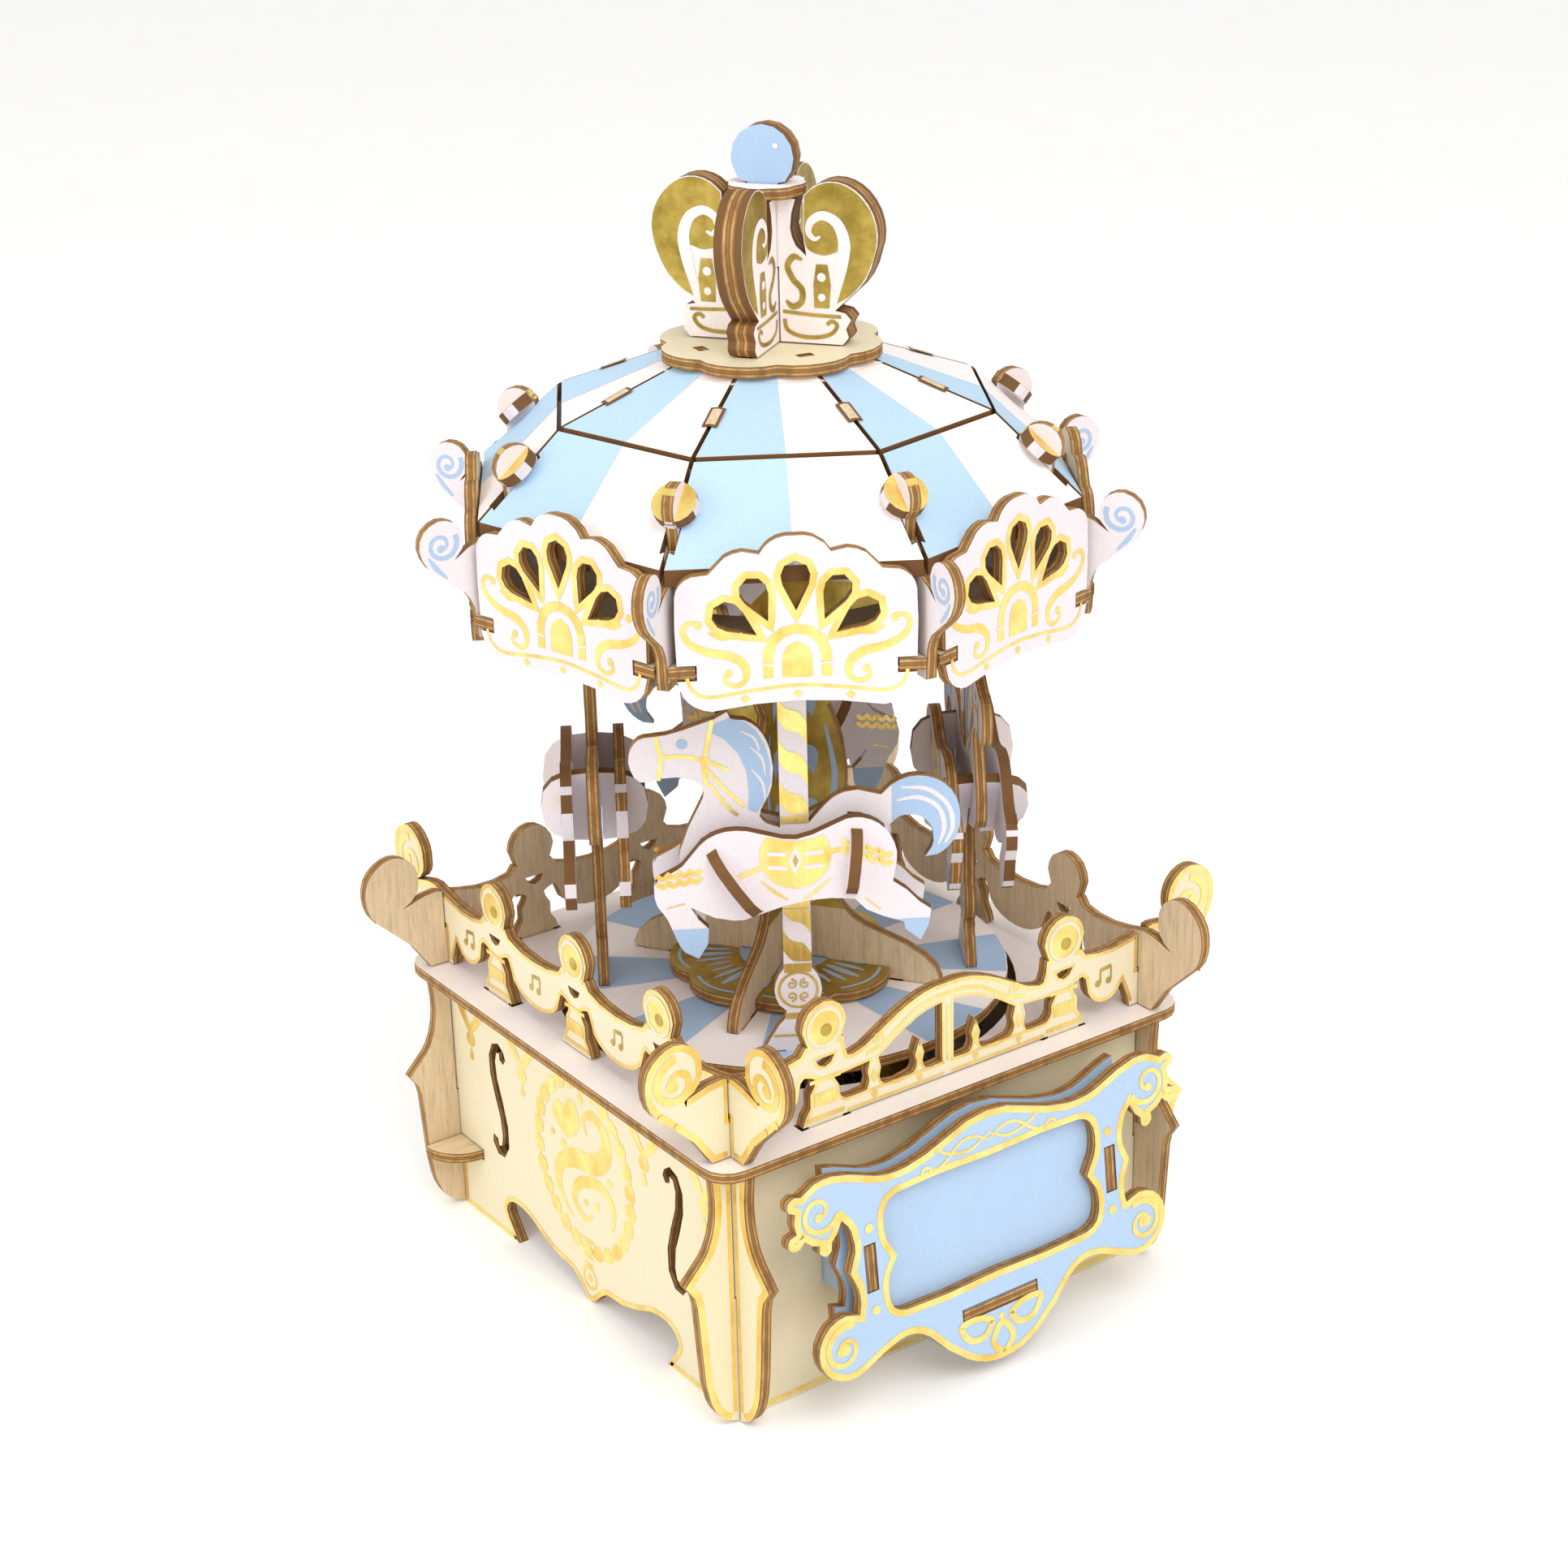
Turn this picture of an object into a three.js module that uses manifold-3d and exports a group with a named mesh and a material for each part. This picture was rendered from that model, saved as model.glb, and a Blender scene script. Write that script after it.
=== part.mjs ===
// Carousel music box: a laser-cut plywood kit on a square box with a sprung musical movement inside.
// Millimetres, +Z up, the wall with the name plaque faces -Y.
import * as THREE from "three";
import { mergeVertices } from "three/addons/utils/BufferGeometryUtils.js";
import Module from "manifold-3d";

const wasm = await Module();
wasm.setup();

// ---------------------------------------------------------------- driving dimensions
const PLY = 2.2; // thickness of every plywood sheet
const FIT = 0.3; // gap left between pieces that touch or slot together
const EASE = 0.15; // extra length at each end of a mortise
const CHORD = 0.14; // how far a drawn curve may stray from the true one

const BOX_X = 100; // left wall mid-plane to right wall mid-plane
const BOX_Y = 104; // front wall mid-plane to back wall mid-plane
const WALL_TOP = 55.3; // height of the four walls
const DECK_LEDGE_X = 7.3; // deck edge beyond the left and right wall mid-planes
const DECK_LEDGE_Y = 6.6; // deck edge beyond the front and back wall mid-planes
const DECK_CORNER = 5.5; // corner radius of the deck
const DECK_HOLE = 47.3; // radius of the round opening the turntable stands in
const SHELF_BOTTOM = 14.5; // underside of the shelf that carries the movement
const SHELF_TAB = 9; // reach of the rounded shelf tabs outside the left and right walls

const TABLE_RADIUS = 45.5; // turntable disc
const TABLE_RISE = 1.5; // underside of the turntable above the deck
const MEDALLION_RADIUS = 24; // scalloped disc round the column
const MEDALLION_HUB = 9; // solid middle of the medallion, inside the column slots

const FACE_TURN = -122; // direction the front roof face looks, degrees from +X
const SIDES = 8; // faces of the roof
const HORSES = 4; // horses on the turntable
const POLE_RADIUS = 37.6; // carousel axis to the plane of a horse's centre plate
const SIDE_OFFSET = 5.3; // centre plate to each side plate of a horse
const SPREADER_REACH = 10.5; // half width of the oval plates across a horse
const POLE_HALF = 2.7; // half width of the twisted pole

const CEILING_BOTTOM = 146.9; // underside of the ring plate the poles hang from
const CEILING_LEDGE = 4.1; // how far that ring reaches inside the poles
const CEILING_BORE = POLE_RADIUS - CEILING_LEDGE; // inner radius of that ring
const TIER_RADIUS = 43.8; // ridge radius where the two roof slopes meet
const TIER_Z = 181.8; // height of that line
const EAVES_APOTHEM = 56.2; // axis to the lower edge of a roof face
const EAVES_Z = 166.5; // height of the lower edge
const CAP_RADIUS = 20; // ridge radius at the top of the roof
const CAP_Z = 190.4; // height of the top of the roof
const PANEL_GAP = 0.9; // open line between neighbouring roof panels
const VALANCE_APOTHEM = 57.75; // axis to the middle of a valance panel
const VALANCE_HALF = 21.3; // half width of a valance panel
const BALL_RADIUS = 4.2; // discs of the ball ornaments on the roof
const BALL_AT = 52.8; // axis to a ball's centre
const BALL_Z = 176; // height of a ball's centre

const CROWN_PLATE_RADIUS = 21.6; // scalloped plate under the crown
const CROWN_ARM_THICK = 5.4; // the crown arms are glued up from three thin layers
const CROWN_CAP_RADIUS = 7.5; // small round plate at the top of the crown
const CROWN_POST_TOP = 220.1; // top of the post where the arms cross
const CROWN_BALL_RADIUS = 6.1; // upright disc at the very top
const CROWN_BALL_THICK = 2 * PLY; // two sheets glued together

const PLAQUE_TILT = 6.5; // degrees the plaque leans, top towards the wall
const PLAQUE_OUT = 66.8; // axis to the front of the plaque at its mid height
const PLAQUE_Z = 37.9; // height of that mid point
const CHEEK_AT = 29.8; // middle to each upright cheek that holds the plaque off the wall
const PROP_DOWN = 22.9; // plaque mid height down to the prop under it

const BED_THICK = 2.6; // bedplate of the musical movement
const BARREL_RADIUS = 14.2; // spring barrel
const BARREL_HEIGHT = 12; // height of the spring barrel
const CROWN_TEETH = 32; // upright teeth on the rim of the barrel
const CROWN_PITCH = 12.8; // radius at which those teeth are in gear
const PINION_TEETH = 16; // pinion on the cylinder, in gear with the barrel
const TOOTH_RISE = 1.6; // height of the barrel's teeth
const CYLINDER_RADIUS = 6.2; // pinned cylinder
const CYLINDER_LENGTH = 24; // length of the pinned cylinder
const CYLINDER_START = 17.4; // barrel axis to the near end of the cylinder
const WHEEL_TEETH = 24; // wheel at the far end of the cylinder
const FLY_TEETH = 8; // pinion on the shaft of the fly
const WHEEL_MODULE = 0.7; // pitch diameter per tooth of that pair
const SHAFT_RADIUS = 1.1; // shafts of the cylinder and the fly
const ARBOR_RADIUS = 1.8; // winding arbor
const SPINDLE_RADIUS = 3.2; // spindle from the barrel up to the turntable
const NOTES = 18; // teeth of the comb

// ---------------------------------------------------------------- derived heights
const DECK_BOTTOM = WALL_TOP + FIT;
const DECK_TOP = DECK_BOTTOM + PLY;
const TABLE_BOTTOM = DECK_TOP + TABLE_RISE;
const TABLE_TOP = TABLE_BOTTOM + PLY;
const FOOT_Z = TABLE_TOP + FIT;
const MEDALLION_BOTTOM = TABLE_TOP + 0.7;
const HALF_X = BOX_X / 2;
const HALF_Y = BOX_Y / 2;
const BED_BOTTOM = SHELF_BOTTOM + PLY + FIT;
const BED_TOP = BED_BOTTOM + BED_THICK;
const BARREL_BOTTOM = BED_TOP + 1;
const BARREL_TOP = BARREL_BOTTOM + BARREL_HEIGHT;
const PINION_RADIUS = (CROWN_PITCH * PINION_TEETH) / CROWN_TEETH;
const CYLINDER_Z = BARREL_TOP + TOOTH_RISE / 2 + PINION_RADIUS + 0.1;
const WHEEL_RADIUS = (WHEEL_TEETH * WHEEL_MODULE) / 2;
const FLY_RADIUS = (FLY_TEETH * WHEEL_MODULE) / 2;
const FLY_Y = WHEEL_RADIUS + FLY_RADIUS + 0.25;
const WHEEL_START = CYLINDER_START + CYLINDER_LENGTH;
const CEILING_TOP = CEILING_BOTTOM + PLY;
const CROWN_PLATE_BOTTOM = CAP_Z + FIT;
const CROWN_PLATE_TOP = CROWN_PLATE_BOTTOM + PLY;
const CROWN_CAP_BOTTOM = CROWN_POST_TOP + FIT;
const CROWN_CAP_TOP = CROWN_CAP_BOTTOM + PLY;
const LAP = PLY / 2 + FIT; // half the width of a slot that takes one sheet

// ---------------------------------------------------------------- colours
const COLOURS = {
  cream: [0xece2c0, 0.75, 0],
  pale: [0xefe8e6, 0.75, 0],
  lilac: [0xe3dce0, 0.75, 0],
  blue: [0xaecff0, 0.75, 0],
  gold: [0xd9b95a, 0.35, 0.8],
  bare: [0xd8c39c, 0.8, 0],
  brass: [0xc8a24a, 0.35, 0.9],
  steel: [0xb9bdc2, 0.3, 0.95],
};
const rad = (degrees) => (degrees * Math.PI) / 180;

// ---------------------------------------------------------------- outline helpers
// Each knot is [across, up]; a third value marks a sharp corner, the others are passed through smoothly.
const CURVE_STEPS = 2;
function trace(knots, steps = CURVE_STEPS) {
  const total = knots.length;
  const corners = knots.map((knot, index) => (knot[2] ? index : -1)).filter((index) => index >= 0);
  const vector = (index) => new THREE.Vector3(knots[index % total][0], knots[index % total][1], 0);
  const points = [];
  if (!corners.length) {
    const ring = knots.map((knot, index) => vector(index));
    const loop = new THREE.CatmullRomCurve3(ring, true, "centripetal");
    loop.getPoints(total * steps).slice(0, -1).forEach((point) => points.push([point.x, point.y]));
    return points;
  }
  corners.forEach((start, order) => {
    const next = corners[(order + 1) % corners.length];
    const spans = (next - start + total) % total || total;
    if (spans === 1) {
      points.push([knots[start][0], knots[start][1]]);
      return;
    }
    const run = [];
    for (let index = start; index <= start + spans; index++) run.push(vector(index));
    const curve = new THREE.CatmullRomCurve3(run, false, "centripetal");
    for (let step = 0; step < spans * steps; step++) {
      const point = curve.getPoint(step / (spans * steps));
      points.push([point.x, point.y]);
    }
  });
  return points;
}

// The right half of a symmetric outline, given from its top middle down to its bottom middle.
const bothSides = (half) => [
  ...half,
  ...half
    .filter((knot) => Math.abs(knot[0]) > 1e-6)
    .reverse()
    .map(([across, up, corner]) => (corner ? [-across, up, corner] : [-across, up])),
];

const circlePoints = (across, up, radius, count) =>
  Array.from({ length: count }, (unused, index) => {
    const angle = (index / count) * Math.PI * 2;
    return [across + radius * Math.cos(angle), up + radius * Math.sin(angle)];
  });

// A span given on the right, kept there or carried over to the left.
const bySide = ([near, far], side) => (side > 0 ? [near, far] : [-far, -near]);

const mirrored = (points) => points.map(([across, up]) => [-across, up]).reverse();

// ---------------------------------------------------------------- solid helpers
// The points of a run that keep it within the chord tolerance, without its last one.
function thinnedRun(run) {
  const line = new THREE.Line3(run[0], run[run.length - 1]);
  const nearest = new THREE.Vector3();
  const strays = run.map((point) => line.closestPointToPoint(point, true, nearest).distanceTo(point));
  const worst = strays.indexOf(Math.max(...strays));
  if (strays[worst] <= CHORD) return [run[0]];
  return [...thinnedRun(run.slice(0, worst + 1)), ...thinnedRun(run.slice(worst))];
}

function thinned(points) {
  const ring = points.map(([across, up]) => new THREE.Vector3(across, up, 0));
  const reach = ring.map((point) => point.distanceTo(ring[0]));
  const far = reach.indexOf(Math.max(...reach));
  return [...thinnedRun(ring.slice(0, far + 1)), ...thinnedRun([...ring.slice(far), ring[0]])];
}

// A closed outline given thickness upwards from the plane z = 0.
function extruded(points, thick) {
  const shape = new THREE.Shape(thinned(points));
  const geometry = new THREE.ExtrudeGeometry(shape, { depth: thick, bevelEnabled: false });
  geometry.deleteAttribute("normal");
  geometry.deleteAttribute("uv");
  return mergeVertices(geometry);
}

// A flat sheet standing on the plane z = 0, cut to the outline, with its openings cut through.
function sheet(points, thick, holes = []) {
  const blank = extruded(points, thick);
  if (!holes.length) return blank;
  return cutBy(blank, holes.map((hole) => moved(extruded(hole, thick + 2), 0, 0, -1)));
}

const placed = (piece, matrix) => piece.clone().applyMatrix4(matrix);
const moved = (piece, across, up, out) => piece.clone().translate(across, up, out);

// The frame of an upright sheet has across, up and out as its x, y and z.
const rectangle = ([left, right], [low, high]) => [
  [left, low],
  [right, low],
  [right, high],
  [left, high],
];
const bar = (across, out, up) => moved(sheet(rectangle(across, up), out[1] - out[0]), 0, 0, out[0]);
const facing = (points, distance, thick = PLY, holes = []) =>
  moved(sheet(points, thick, holes), 0, 0, distance - thick / 2);

// Turns a piece made in that frame so that out points along the azimuth.
function standing(azimuth, piece) {
  const angle = rad(azimuth);
  const out = new THREE.Vector3(Math.cos(angle), Math.sin(angle), 0);
  const across = new THREE.Vector3(-Math.sin(angle), Math.cos(angle), 0);
  return placed(piece, new THREE.Matrix4().makeBasis(across, new THREE.Vector3(0, 0, 1), out));
}

const upright = (points, azimuth, distance, thick = PLY, holes = []) =>
  standing(azimuth, facing(points, distance, thick, holes));
const block = (azimuth, across, out, up) => standing(azimuth, bar(across, out, up));

// A sheet lying flat, its underside at the given height.
const flat = (points, bottom, thick = PLY, holes = []) => moved(sheet(points, thick, holes), 0, 0, bottom);

const cylinderZ = (radius, bottom, top, count = 24) =>
  flat(circlePoints(0, 0, radius, count), bottom, top - bottom);

// A wheel or a round bar along X.
function wheelX(points, start, end, y, z) {
  const toX = new THREE.Matrix4().makeBasis(
    new THREE.Vector3(0, 1, 0),
    new THREE.Vector3(0, 0, 1),
    new THREE.Vector3(1, 0, 0),
  );
  return placed(sheet(points, end - start), toX.setPosition(start, y, z));
}
const cylinderX = (radius, start, end, y, z, count = 20) =>
  wheelX(circlePoints(0, 0, radius, count), start, end, y, z);
const turnedX = (piece, degrees, x, y, z) =>
  placed(piece, new THREE.Matrix4().makeRotationX(rad(degrees)).setPosition(x, y, z));

// Closed meshes become solids to be joined or cut, and the result becomes a mesh again.
function solidFrom(piece) {
  const vertProperties = new Float32Array(piece.attributes.position.array);
  const triVerts = new Uint32Array(piece.index.array);
  return new wasm.Manifold(new wasm.Mesh({ numProp: 3, vertProperties, triVerts }));
}
function pieceFrom(solid) {
  const { vertProperties, triVerts } = solid.getMesh();
  const piece = new THREE.BufferGeometry();
  piece.setAttribute("position", new THREE.BufferAttribute(new Float32Array(vertProperties), 3));
  piece.setIndex(new THREE.BufferAttribute(new Uint32Array(triVerts), 1));
  return piece;
}
const joined = (list) => pieceFrom(list.map(solidFrom).reduce((whole, solid) => whole.add(solid)));
const cutBy = (whole, list) =>
  pieceFrom(list.map(solidFrom).reduce((rest, solid) => rest.subtract(solid), solidFrom(whole)));
const common = (first, second) => pieceFrom(solidFrom(first).intersect(solidFrom(second)));

const carousel = new THREE.Group();
function addNode(name, piece, colour) {
  const [tint, roughness, metalness] = COLOURS[colour];
  const material = new THREE.MeshStandardMaterial({ color: tint, roughness, metalness });
  const geometry = piece.toNonIndexed();
  geometry.computeVertexNormals();
  const mesh = new THREE.Mesh(geometry, material);
  mesh.name = name;
  carousel.add(mesh);
}

// ---------------------------------------------------------------- box walls
// Right-hand wing of a wall past the corner, from the deck down to the floor.
const wingKnots = (half) => [
  [half + 5.5, WALL_TOP, 1],
  [half + 5.0, WALL_TOP * 0.9],
  [half + 5.3, WALL_TOP * 0.81],
  [half + 6.9, WALL_TOP * 0.72],
  [half + 9.4, WALL_TOP * 0.663],
  [half + 12.2, WALL_TOP * 0.613, 1],
  [half + 10.2, WALL_TOP * 0.56],
  [half + 9.4, WALL_TOP * 0.47],
  [half + 9.0, WALL_TOP * 0.36],
  [half + 8.7, WALL_TOP * 0.25],
  [half + 8.0, WALL_TOP * 0.16],
  [half + 6.5, WALL_TOP * 0.08],
  [half + 4.0, WALL_TOP * 0.025],
  [half + 0.6, 0, 1],
];

const straightWall = (half) => bothSides([[0, WALL_TOP], ...wingKnots(half), [0, 0]]);

// The feet, arches and middle pendant along the bottom of the side and back walls.
const archKnots = (half) => [
  [half * 0.545, 0, 1],
  [half * 0.59, 3.0],
  [half * 0.63, 6.2],
  [half * 0.605, 8.7],
  [half * 0.54, 9.8],
  [half * 0.44, 9.2],
  [half * 0.34, 6.9],
  [half * 0.24, 5.3],
  [half * 0.13, 4.8],
  [half * 0.075, 3.0],
  [half * 0.035, 0.9],
];
const archedWall = (half) =>
  bothSides([[0, WALL_TOP], ...wingKnots(half), ...archKnots(half), [0, 0.1]]);

// Sound hole on the right of a side wall, like the f-hole of a violin.
const SOUND_HOLE_AT = 33.2;
const soundHole = (middle) =>
  trace(
    [
      [-3.2, 12.2],
      [-1.2, 13.6],
      [1.4, 12.6],
      [3.0, 9.4],
      [2.9, 5.0],
      [1.5, 0.4],
      [-0.2, -4.2],
      [-0.7, -8.6],
      [-0.1, -11.0],
      [1.1, -11.5],
      [1.5, -9.9],
      [3.2, -9.4],
      [3.5, -11.5],
      [1.7, -13.7],
      [-1.0, -13.5],
      [-3.1, -10.4],
      [-3.2, -5.4],
      [-1.7, -0.2],
      [0.1, 4.8],
      [0.5, 8.8],
      [-0.2, 11.0],
      [-1.4, 11.4],
      [-1.4, 9.9],
      [-2.9, 9.3],
      [-3.8, 10.7],
    ].map(([across, up]) => [middle + across, WALL_TOP * 0.59 + up]),
    1,
  );

// Every wall has a slot at each corner: upper half in the front and back walls, lower half in the others.
function wall(azimuth, half, distance, knots, holes, upper) {
  const reach = [distance - PLY, distance + PLY];
  const span = upper ? [WALL_TOP / 2 - EASE, WALL_TOP + 1] : [-1, WALL_TOP / 2 + EASE];
  const slots = [-half, half].map((at) => bar([at - LAP, at + LAP], reach, span));
  return standing(azimuth, cutBy(facing(trace(knots), distance, PLY, holes), slots));
}

function shelfTabSlots(azimuth) {
  const up = [SHELF_BOTTOM - FIT, SHELF_BOTTOM + PLY + FIT];
  const out = [HALF_X - PLY, HALF_X + PLY];
  const near = HALF_Y - PLY / 2 - FIT - SHELF_TAB;
  const side = azimuth === 180 ? -1 : 1;
  const span = [side * (near - FIT), side * (near + SHELF_TAB)].sort((low, high) => low - high);
  return block(azimuth, span, out, up);
}

// ---------------------------------------------------------------- fences on the deck
const FENCE_TOP = 15.9; // deck to the top of the fence at the corners
const POST_HALF = 5.3; // half width of a post's foot
const BALL_UP = 19.9; // deck to the centre of a post's ball
const BALL_SIZE = 5.1; // radius of a post's ball

// Curled wing at the end of a fence.
const scrollKnots = (half) => [
  [half, FENCE_TOP],
  [half + 2.6, 16.5],
  [half + 5.6, 16.2],
  [half + 10.8, 14.7, 1],
  [half + 8.6, 15.9],
  [half + 7.1, 17.7],
  [half + 6.6, 20.4],
  [half + 7.2, 23.2],
  [half + 9.3, 25.6],
  [half + 12.5, 26.6],
  [half + 15.8, 25.5],
  [half + 18.4, 22.8],
  [half + 19.1, 19.0],
  [half + 18.2, 15.0],
  [half + 15.8, 12.0],
  [half + 12.5, 9.0],
  [half + 9.0, 5.6],
  [half + 6.8, 2.6],
  [half + 5.2, 0, 1],
];

// Outline of a ball post from its left shoulder over the ball to its right shoulder.
const ballKnots = (middle) => [
  [middle - 5.6, 15.0],
  [middle - 4.4, 16.6, 1],
  [middle - 3.9, BALL_UP - 3.4],
  [middle - BALL_SIZE, BALL_UP],
  [middle - 3.6, BALL_UP + 3.6],
  [middle, BALL_UP + BALL_SIZE],
  [middle + 3.6, BALL_UP + 3.6],
  [middle + BALL_SIZE, BALL_UP],
  [middle + 3.9, BALL_UP - 3.4],
  [middle + 4.4, 16.6, 1],
  [middle + 5.6, 15.0],
];

// Waist and foot of a post, right side going down or left side going up.
const footRight = (middle) => [
  [middle + 4.8, 10.4, 1],
  [middle + 2.1, 9.2],
  [middle + 3.5, 6.4, 1],
  [middle + 3.5, 3.6],
  [middle + 4.6, 2.0],
  [middle + POST_HALF, 0, 1],
];
const footLeft = (middle) =>
  footRight(0)
    .reverse()
    .map(([across, up, corner]) => (corner ? [middle - across, up, 1] : [middle - across, up]));

// Belly of a shield between two posts, going right to left.
const shieldBelly = (from, to) => {
  const middle = (from + to) / 2;
  const reach = (to - from) / 2;
  return [
    [to, 9.6, 1],
    [middle + reach * 0.86, 6.2],
    [middle + reach * 0.5, 3.9],
    [middle, 3.1],
    [middle - reach * 0.5, 3.9],
    [middle - reach * 0.86, 6.2],
    [from, 9.6, 1],
  ];
};

const halfMoon = (middle) => [
  [middle - 2.2, 13.4],
  [middle - 1.4, 12.0],
  [middle, 11.4],
  [middle + 1.4, 12.0],
  [middle + 2.2, 13.4],
];

// Part of the fence outside the outer post: end shield, corner and curled wing.
const fenceEnd = (half, post) => [
  [(post + half) / 2 + 2.6, 14.3],
  ...scrollKnots(half),
  [half - 3.2, 0, 1],
  [half - 3.7, 2.2],
  [half - 4.6, 4.4, 1],
  ...shieldBelly(post + POST_HALF + 0.4, half - 4.6).slice(1),
];

// Fence with three ball posts and four shields.
function ballFencePoints(half) {
  const post = half * 0.582;
  const inner = [POST_HALF + 0.1, post - POST_HALF - 0.1];
  return trace([
    ...ballKnots(0).slice(5),
    [post / 2, 13.5],
    ...ballKnots(post),
    ...fenceEnd(half, post),
    ...footRight(post),
    ...footLeft(post),
    ...shieldBelly(...inner),
    ...footRight(0),
    ...mirrorKnots([
      ...ballKnots(0).slice(6),
      [post / 2, 13.5],
      ...ballKnots(post),
      ...fenceEnd(half, post),
      ...footRight(post),
      ...footLeft(post),
      ...shieldBelly(...inner),
      ...footRight(0),
    ]),
  ]);
}

// The same knots mirrored and taken in reverse order.
const mirrorKnots = (knots) =>
  [...knots]
    .reverse()
    .map(([across, up, corner]) => (corner ? [-across, up, corner] : [-across, up]));

// Front fence: an arched gate between two ball posts.
const RAIL_TOP = 3.3; // top of the gate's bottom rail above the deck
function gateFencePoints(half) {
  const post = half * 0.586;
  const start = post - POST_HALF;
  const right = [
    [0, 20.0],
    [start * 0.25, 19.4],
    [start * 0.52, 16.9],
    [start * 0.76, 13.6],
    [start * 0.9, 12.2],
    [start, 12.2],
    ...ballKnots(post).slice(1),
    ...fenceEnd(half, post),
    ...footRight(post),
    [post - POST_HALF, 0, 1],
  ];
  return trace([...right, ...mirrorKnots(right.slice(1))]);
}

// Openings of the gate on its right side: under the arch, and between the post and the outer finial.
function gateHoles(half) {
  const post = half * 0.586;
  const inner = 17.8;
  const outer = post - 3.2;
  const arch = trace([
    [1.4, RAIL_TOP, 1],
    [5.4, RAIL_TOP],
    [6.2, 5.2],
    [5.8, 6.8],
    [6.4, 8.6],
    [6.9, 9.9],
    [7.4, 8.6],
    [8.0, 6.8],
    [7.6, 5.2],
    [8.4, RAIL_TOP],
    [inner - 2.2, RAIL_TOP],
    [inner - 1.2, 5.2],
    [inner - 1.6, 7.0],
    [inner - 1.0, 9.4, 1],
    [inner * 0.8, 11.2],
    [inner * 0.56, 13.6],
    [inner * 0.3, 15.4],
    [1.4, 16.0, 1],
  ]);
  const side = trace([
    [inner + 1.8, RAIL_TOP, 1],
    [outer - 1.2, RAIL_TOP],
    [outer, 5.0],
    [outer, 6.6, 1],
    [outer + 1.2, 8.6, 1],
    [inner + 1.0, 9.2, 1],
    [inner + 1.6, 7.0],
    [inner + 1.2, 5.2],
  ]);
  return [arch, mirrored(arch), side, mirrored(side)];
}

// Tabs under the outer posts of a fence, through the deck.
const tabSpan = (post) => [post - 4, post + 4];
const postAt = (half, gate) => half * (gate ? 0.586 : 0.582);

function fence(azimuth, half, distance, gate) {
  const points = gate ? gateFencePoints(half) : ballFencePoints(half);
  const post = postAt(half, gate);
  const holes = gate
    ? [halfMoon(post), halfMoon(-post), ...gateHoles(half)]
    : [halfMoon(-post), halfMoon(0), halfMoon(post)];
  const base = DECK_TOP + FIT;
  const lift = (list) => list.map(([across, up]) => [across, up + base]);
  const board = facing(lift(points), distance, PLY, holes.map(lift));
  const out = [distance - PLY / 2, distance + PLY / 2];
  const tabs = [-post, post].map((at) => bar(tabSpan(at), out, [DECK_BOTTOM, base + 1]));
  const across = azimuth === -90 || azimuth === 90;
  const cut = across
    ? [base + FENCE_TOP / 2 - EASE, base + FENCE_TOP + 9]
    : [base - 1, base + FENCE_TOP / 2 + EASE];
  const thick = [distance - PLY, distance + PLY];
  const slots = [-half, half].map((at) => bar([at - LAP, at + LAP], thick, cut));
  return standing(azimuth, cutBy(joined([board, ...tabs]), slots));
}

// ---------------------------------------------------------------- deck and shelf
function deck() {
  const edgeX = HALF_X + DECK_LEDGE_X;
  const edgeY = HALF_Y + DECK_LEDGE_Y;
  const corner = DECK_CORNER;
  const outline = [];
  for (const [signX, signY, start] of [[1, 1, 0], [-1, 1, 90], [-1, -1, 180], [1, -1, 270]]) {
    for (let step = 0; step <= 4; step++) {
      const angle = rad(start + step * 22.5);
      outline.push([
        signX * (edgeX - corner) + corner * Math.cos(angle),
        signY * (edgeY - corner) + corner * Math.sin(angle),
      ]);
    }
  }
  const board = flat(outline, DECK_BOTTOM, PLY, [circlePoints(0, 0, DECK_HOLE, 72)]);
  const up = [DECK_BOTTOM - 1, DECK_TOP + 1];
  const mortises = [];
  for (const [azimuth, half, distance, gate] of FENCES) {
    const post = postAt(half, gate);
    for (const at of [-post, post]) {
      const span = [at - 4 - FIT - 1.5, at + 4 + FIT + 1.5];
      mortises.push(block(azimuth, span, [distance - LAP, distance + LAP], up));
    }
  }
  return cutBy(board, mortises);
}

const FENCES = [
  [-90, HALF_X, HALF_Y, true],
  [90, HALF_X, HALF_Y, false],
  [180, HALF_Y, HALF_X, false],
  [0, HALF_Y, HALF_X, false],
];

function shelf() {
  const insideX = HALF_X - PLY / 2 - FIT;
  const insideY = HALF_Y - PLY / 2 - FIT;
  const near = insideY - SHELF_TAB;
  const root = HALF_X + PLY / 2;
  const tab = [[insideX - 1, near + EASE]];
  for (let step = 0; step <= 6; step++) {
    const angle = rad(step * 15);
    const reach = SHELF_TAB - EASE;
    tab.push([root + reach * Math.sin(angle), insideY - reach * Math.cos(angle)]);
  }
  tab.push([insideX - 1, insideY]);
  const middle = [
    [-insideX, -insideY],
    [insideX, -insideY],
    [insideX, insideY],
    [-insideX, insideY],
  ];
  const whole = joined([
    flat(middle, SHELF_BOTTOM),
    flat(tab, SHELF_BOTTOM),
    flat(mirrored(tab), SHELF_BOTTOM),
  ]);
  return cutBy(whole, [cylinderZ(ARBOR_RADIUS + 1, SHELF_BOTTOM - 1, SHELF_BOTTOM + PLY + 1)]);
}

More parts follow.
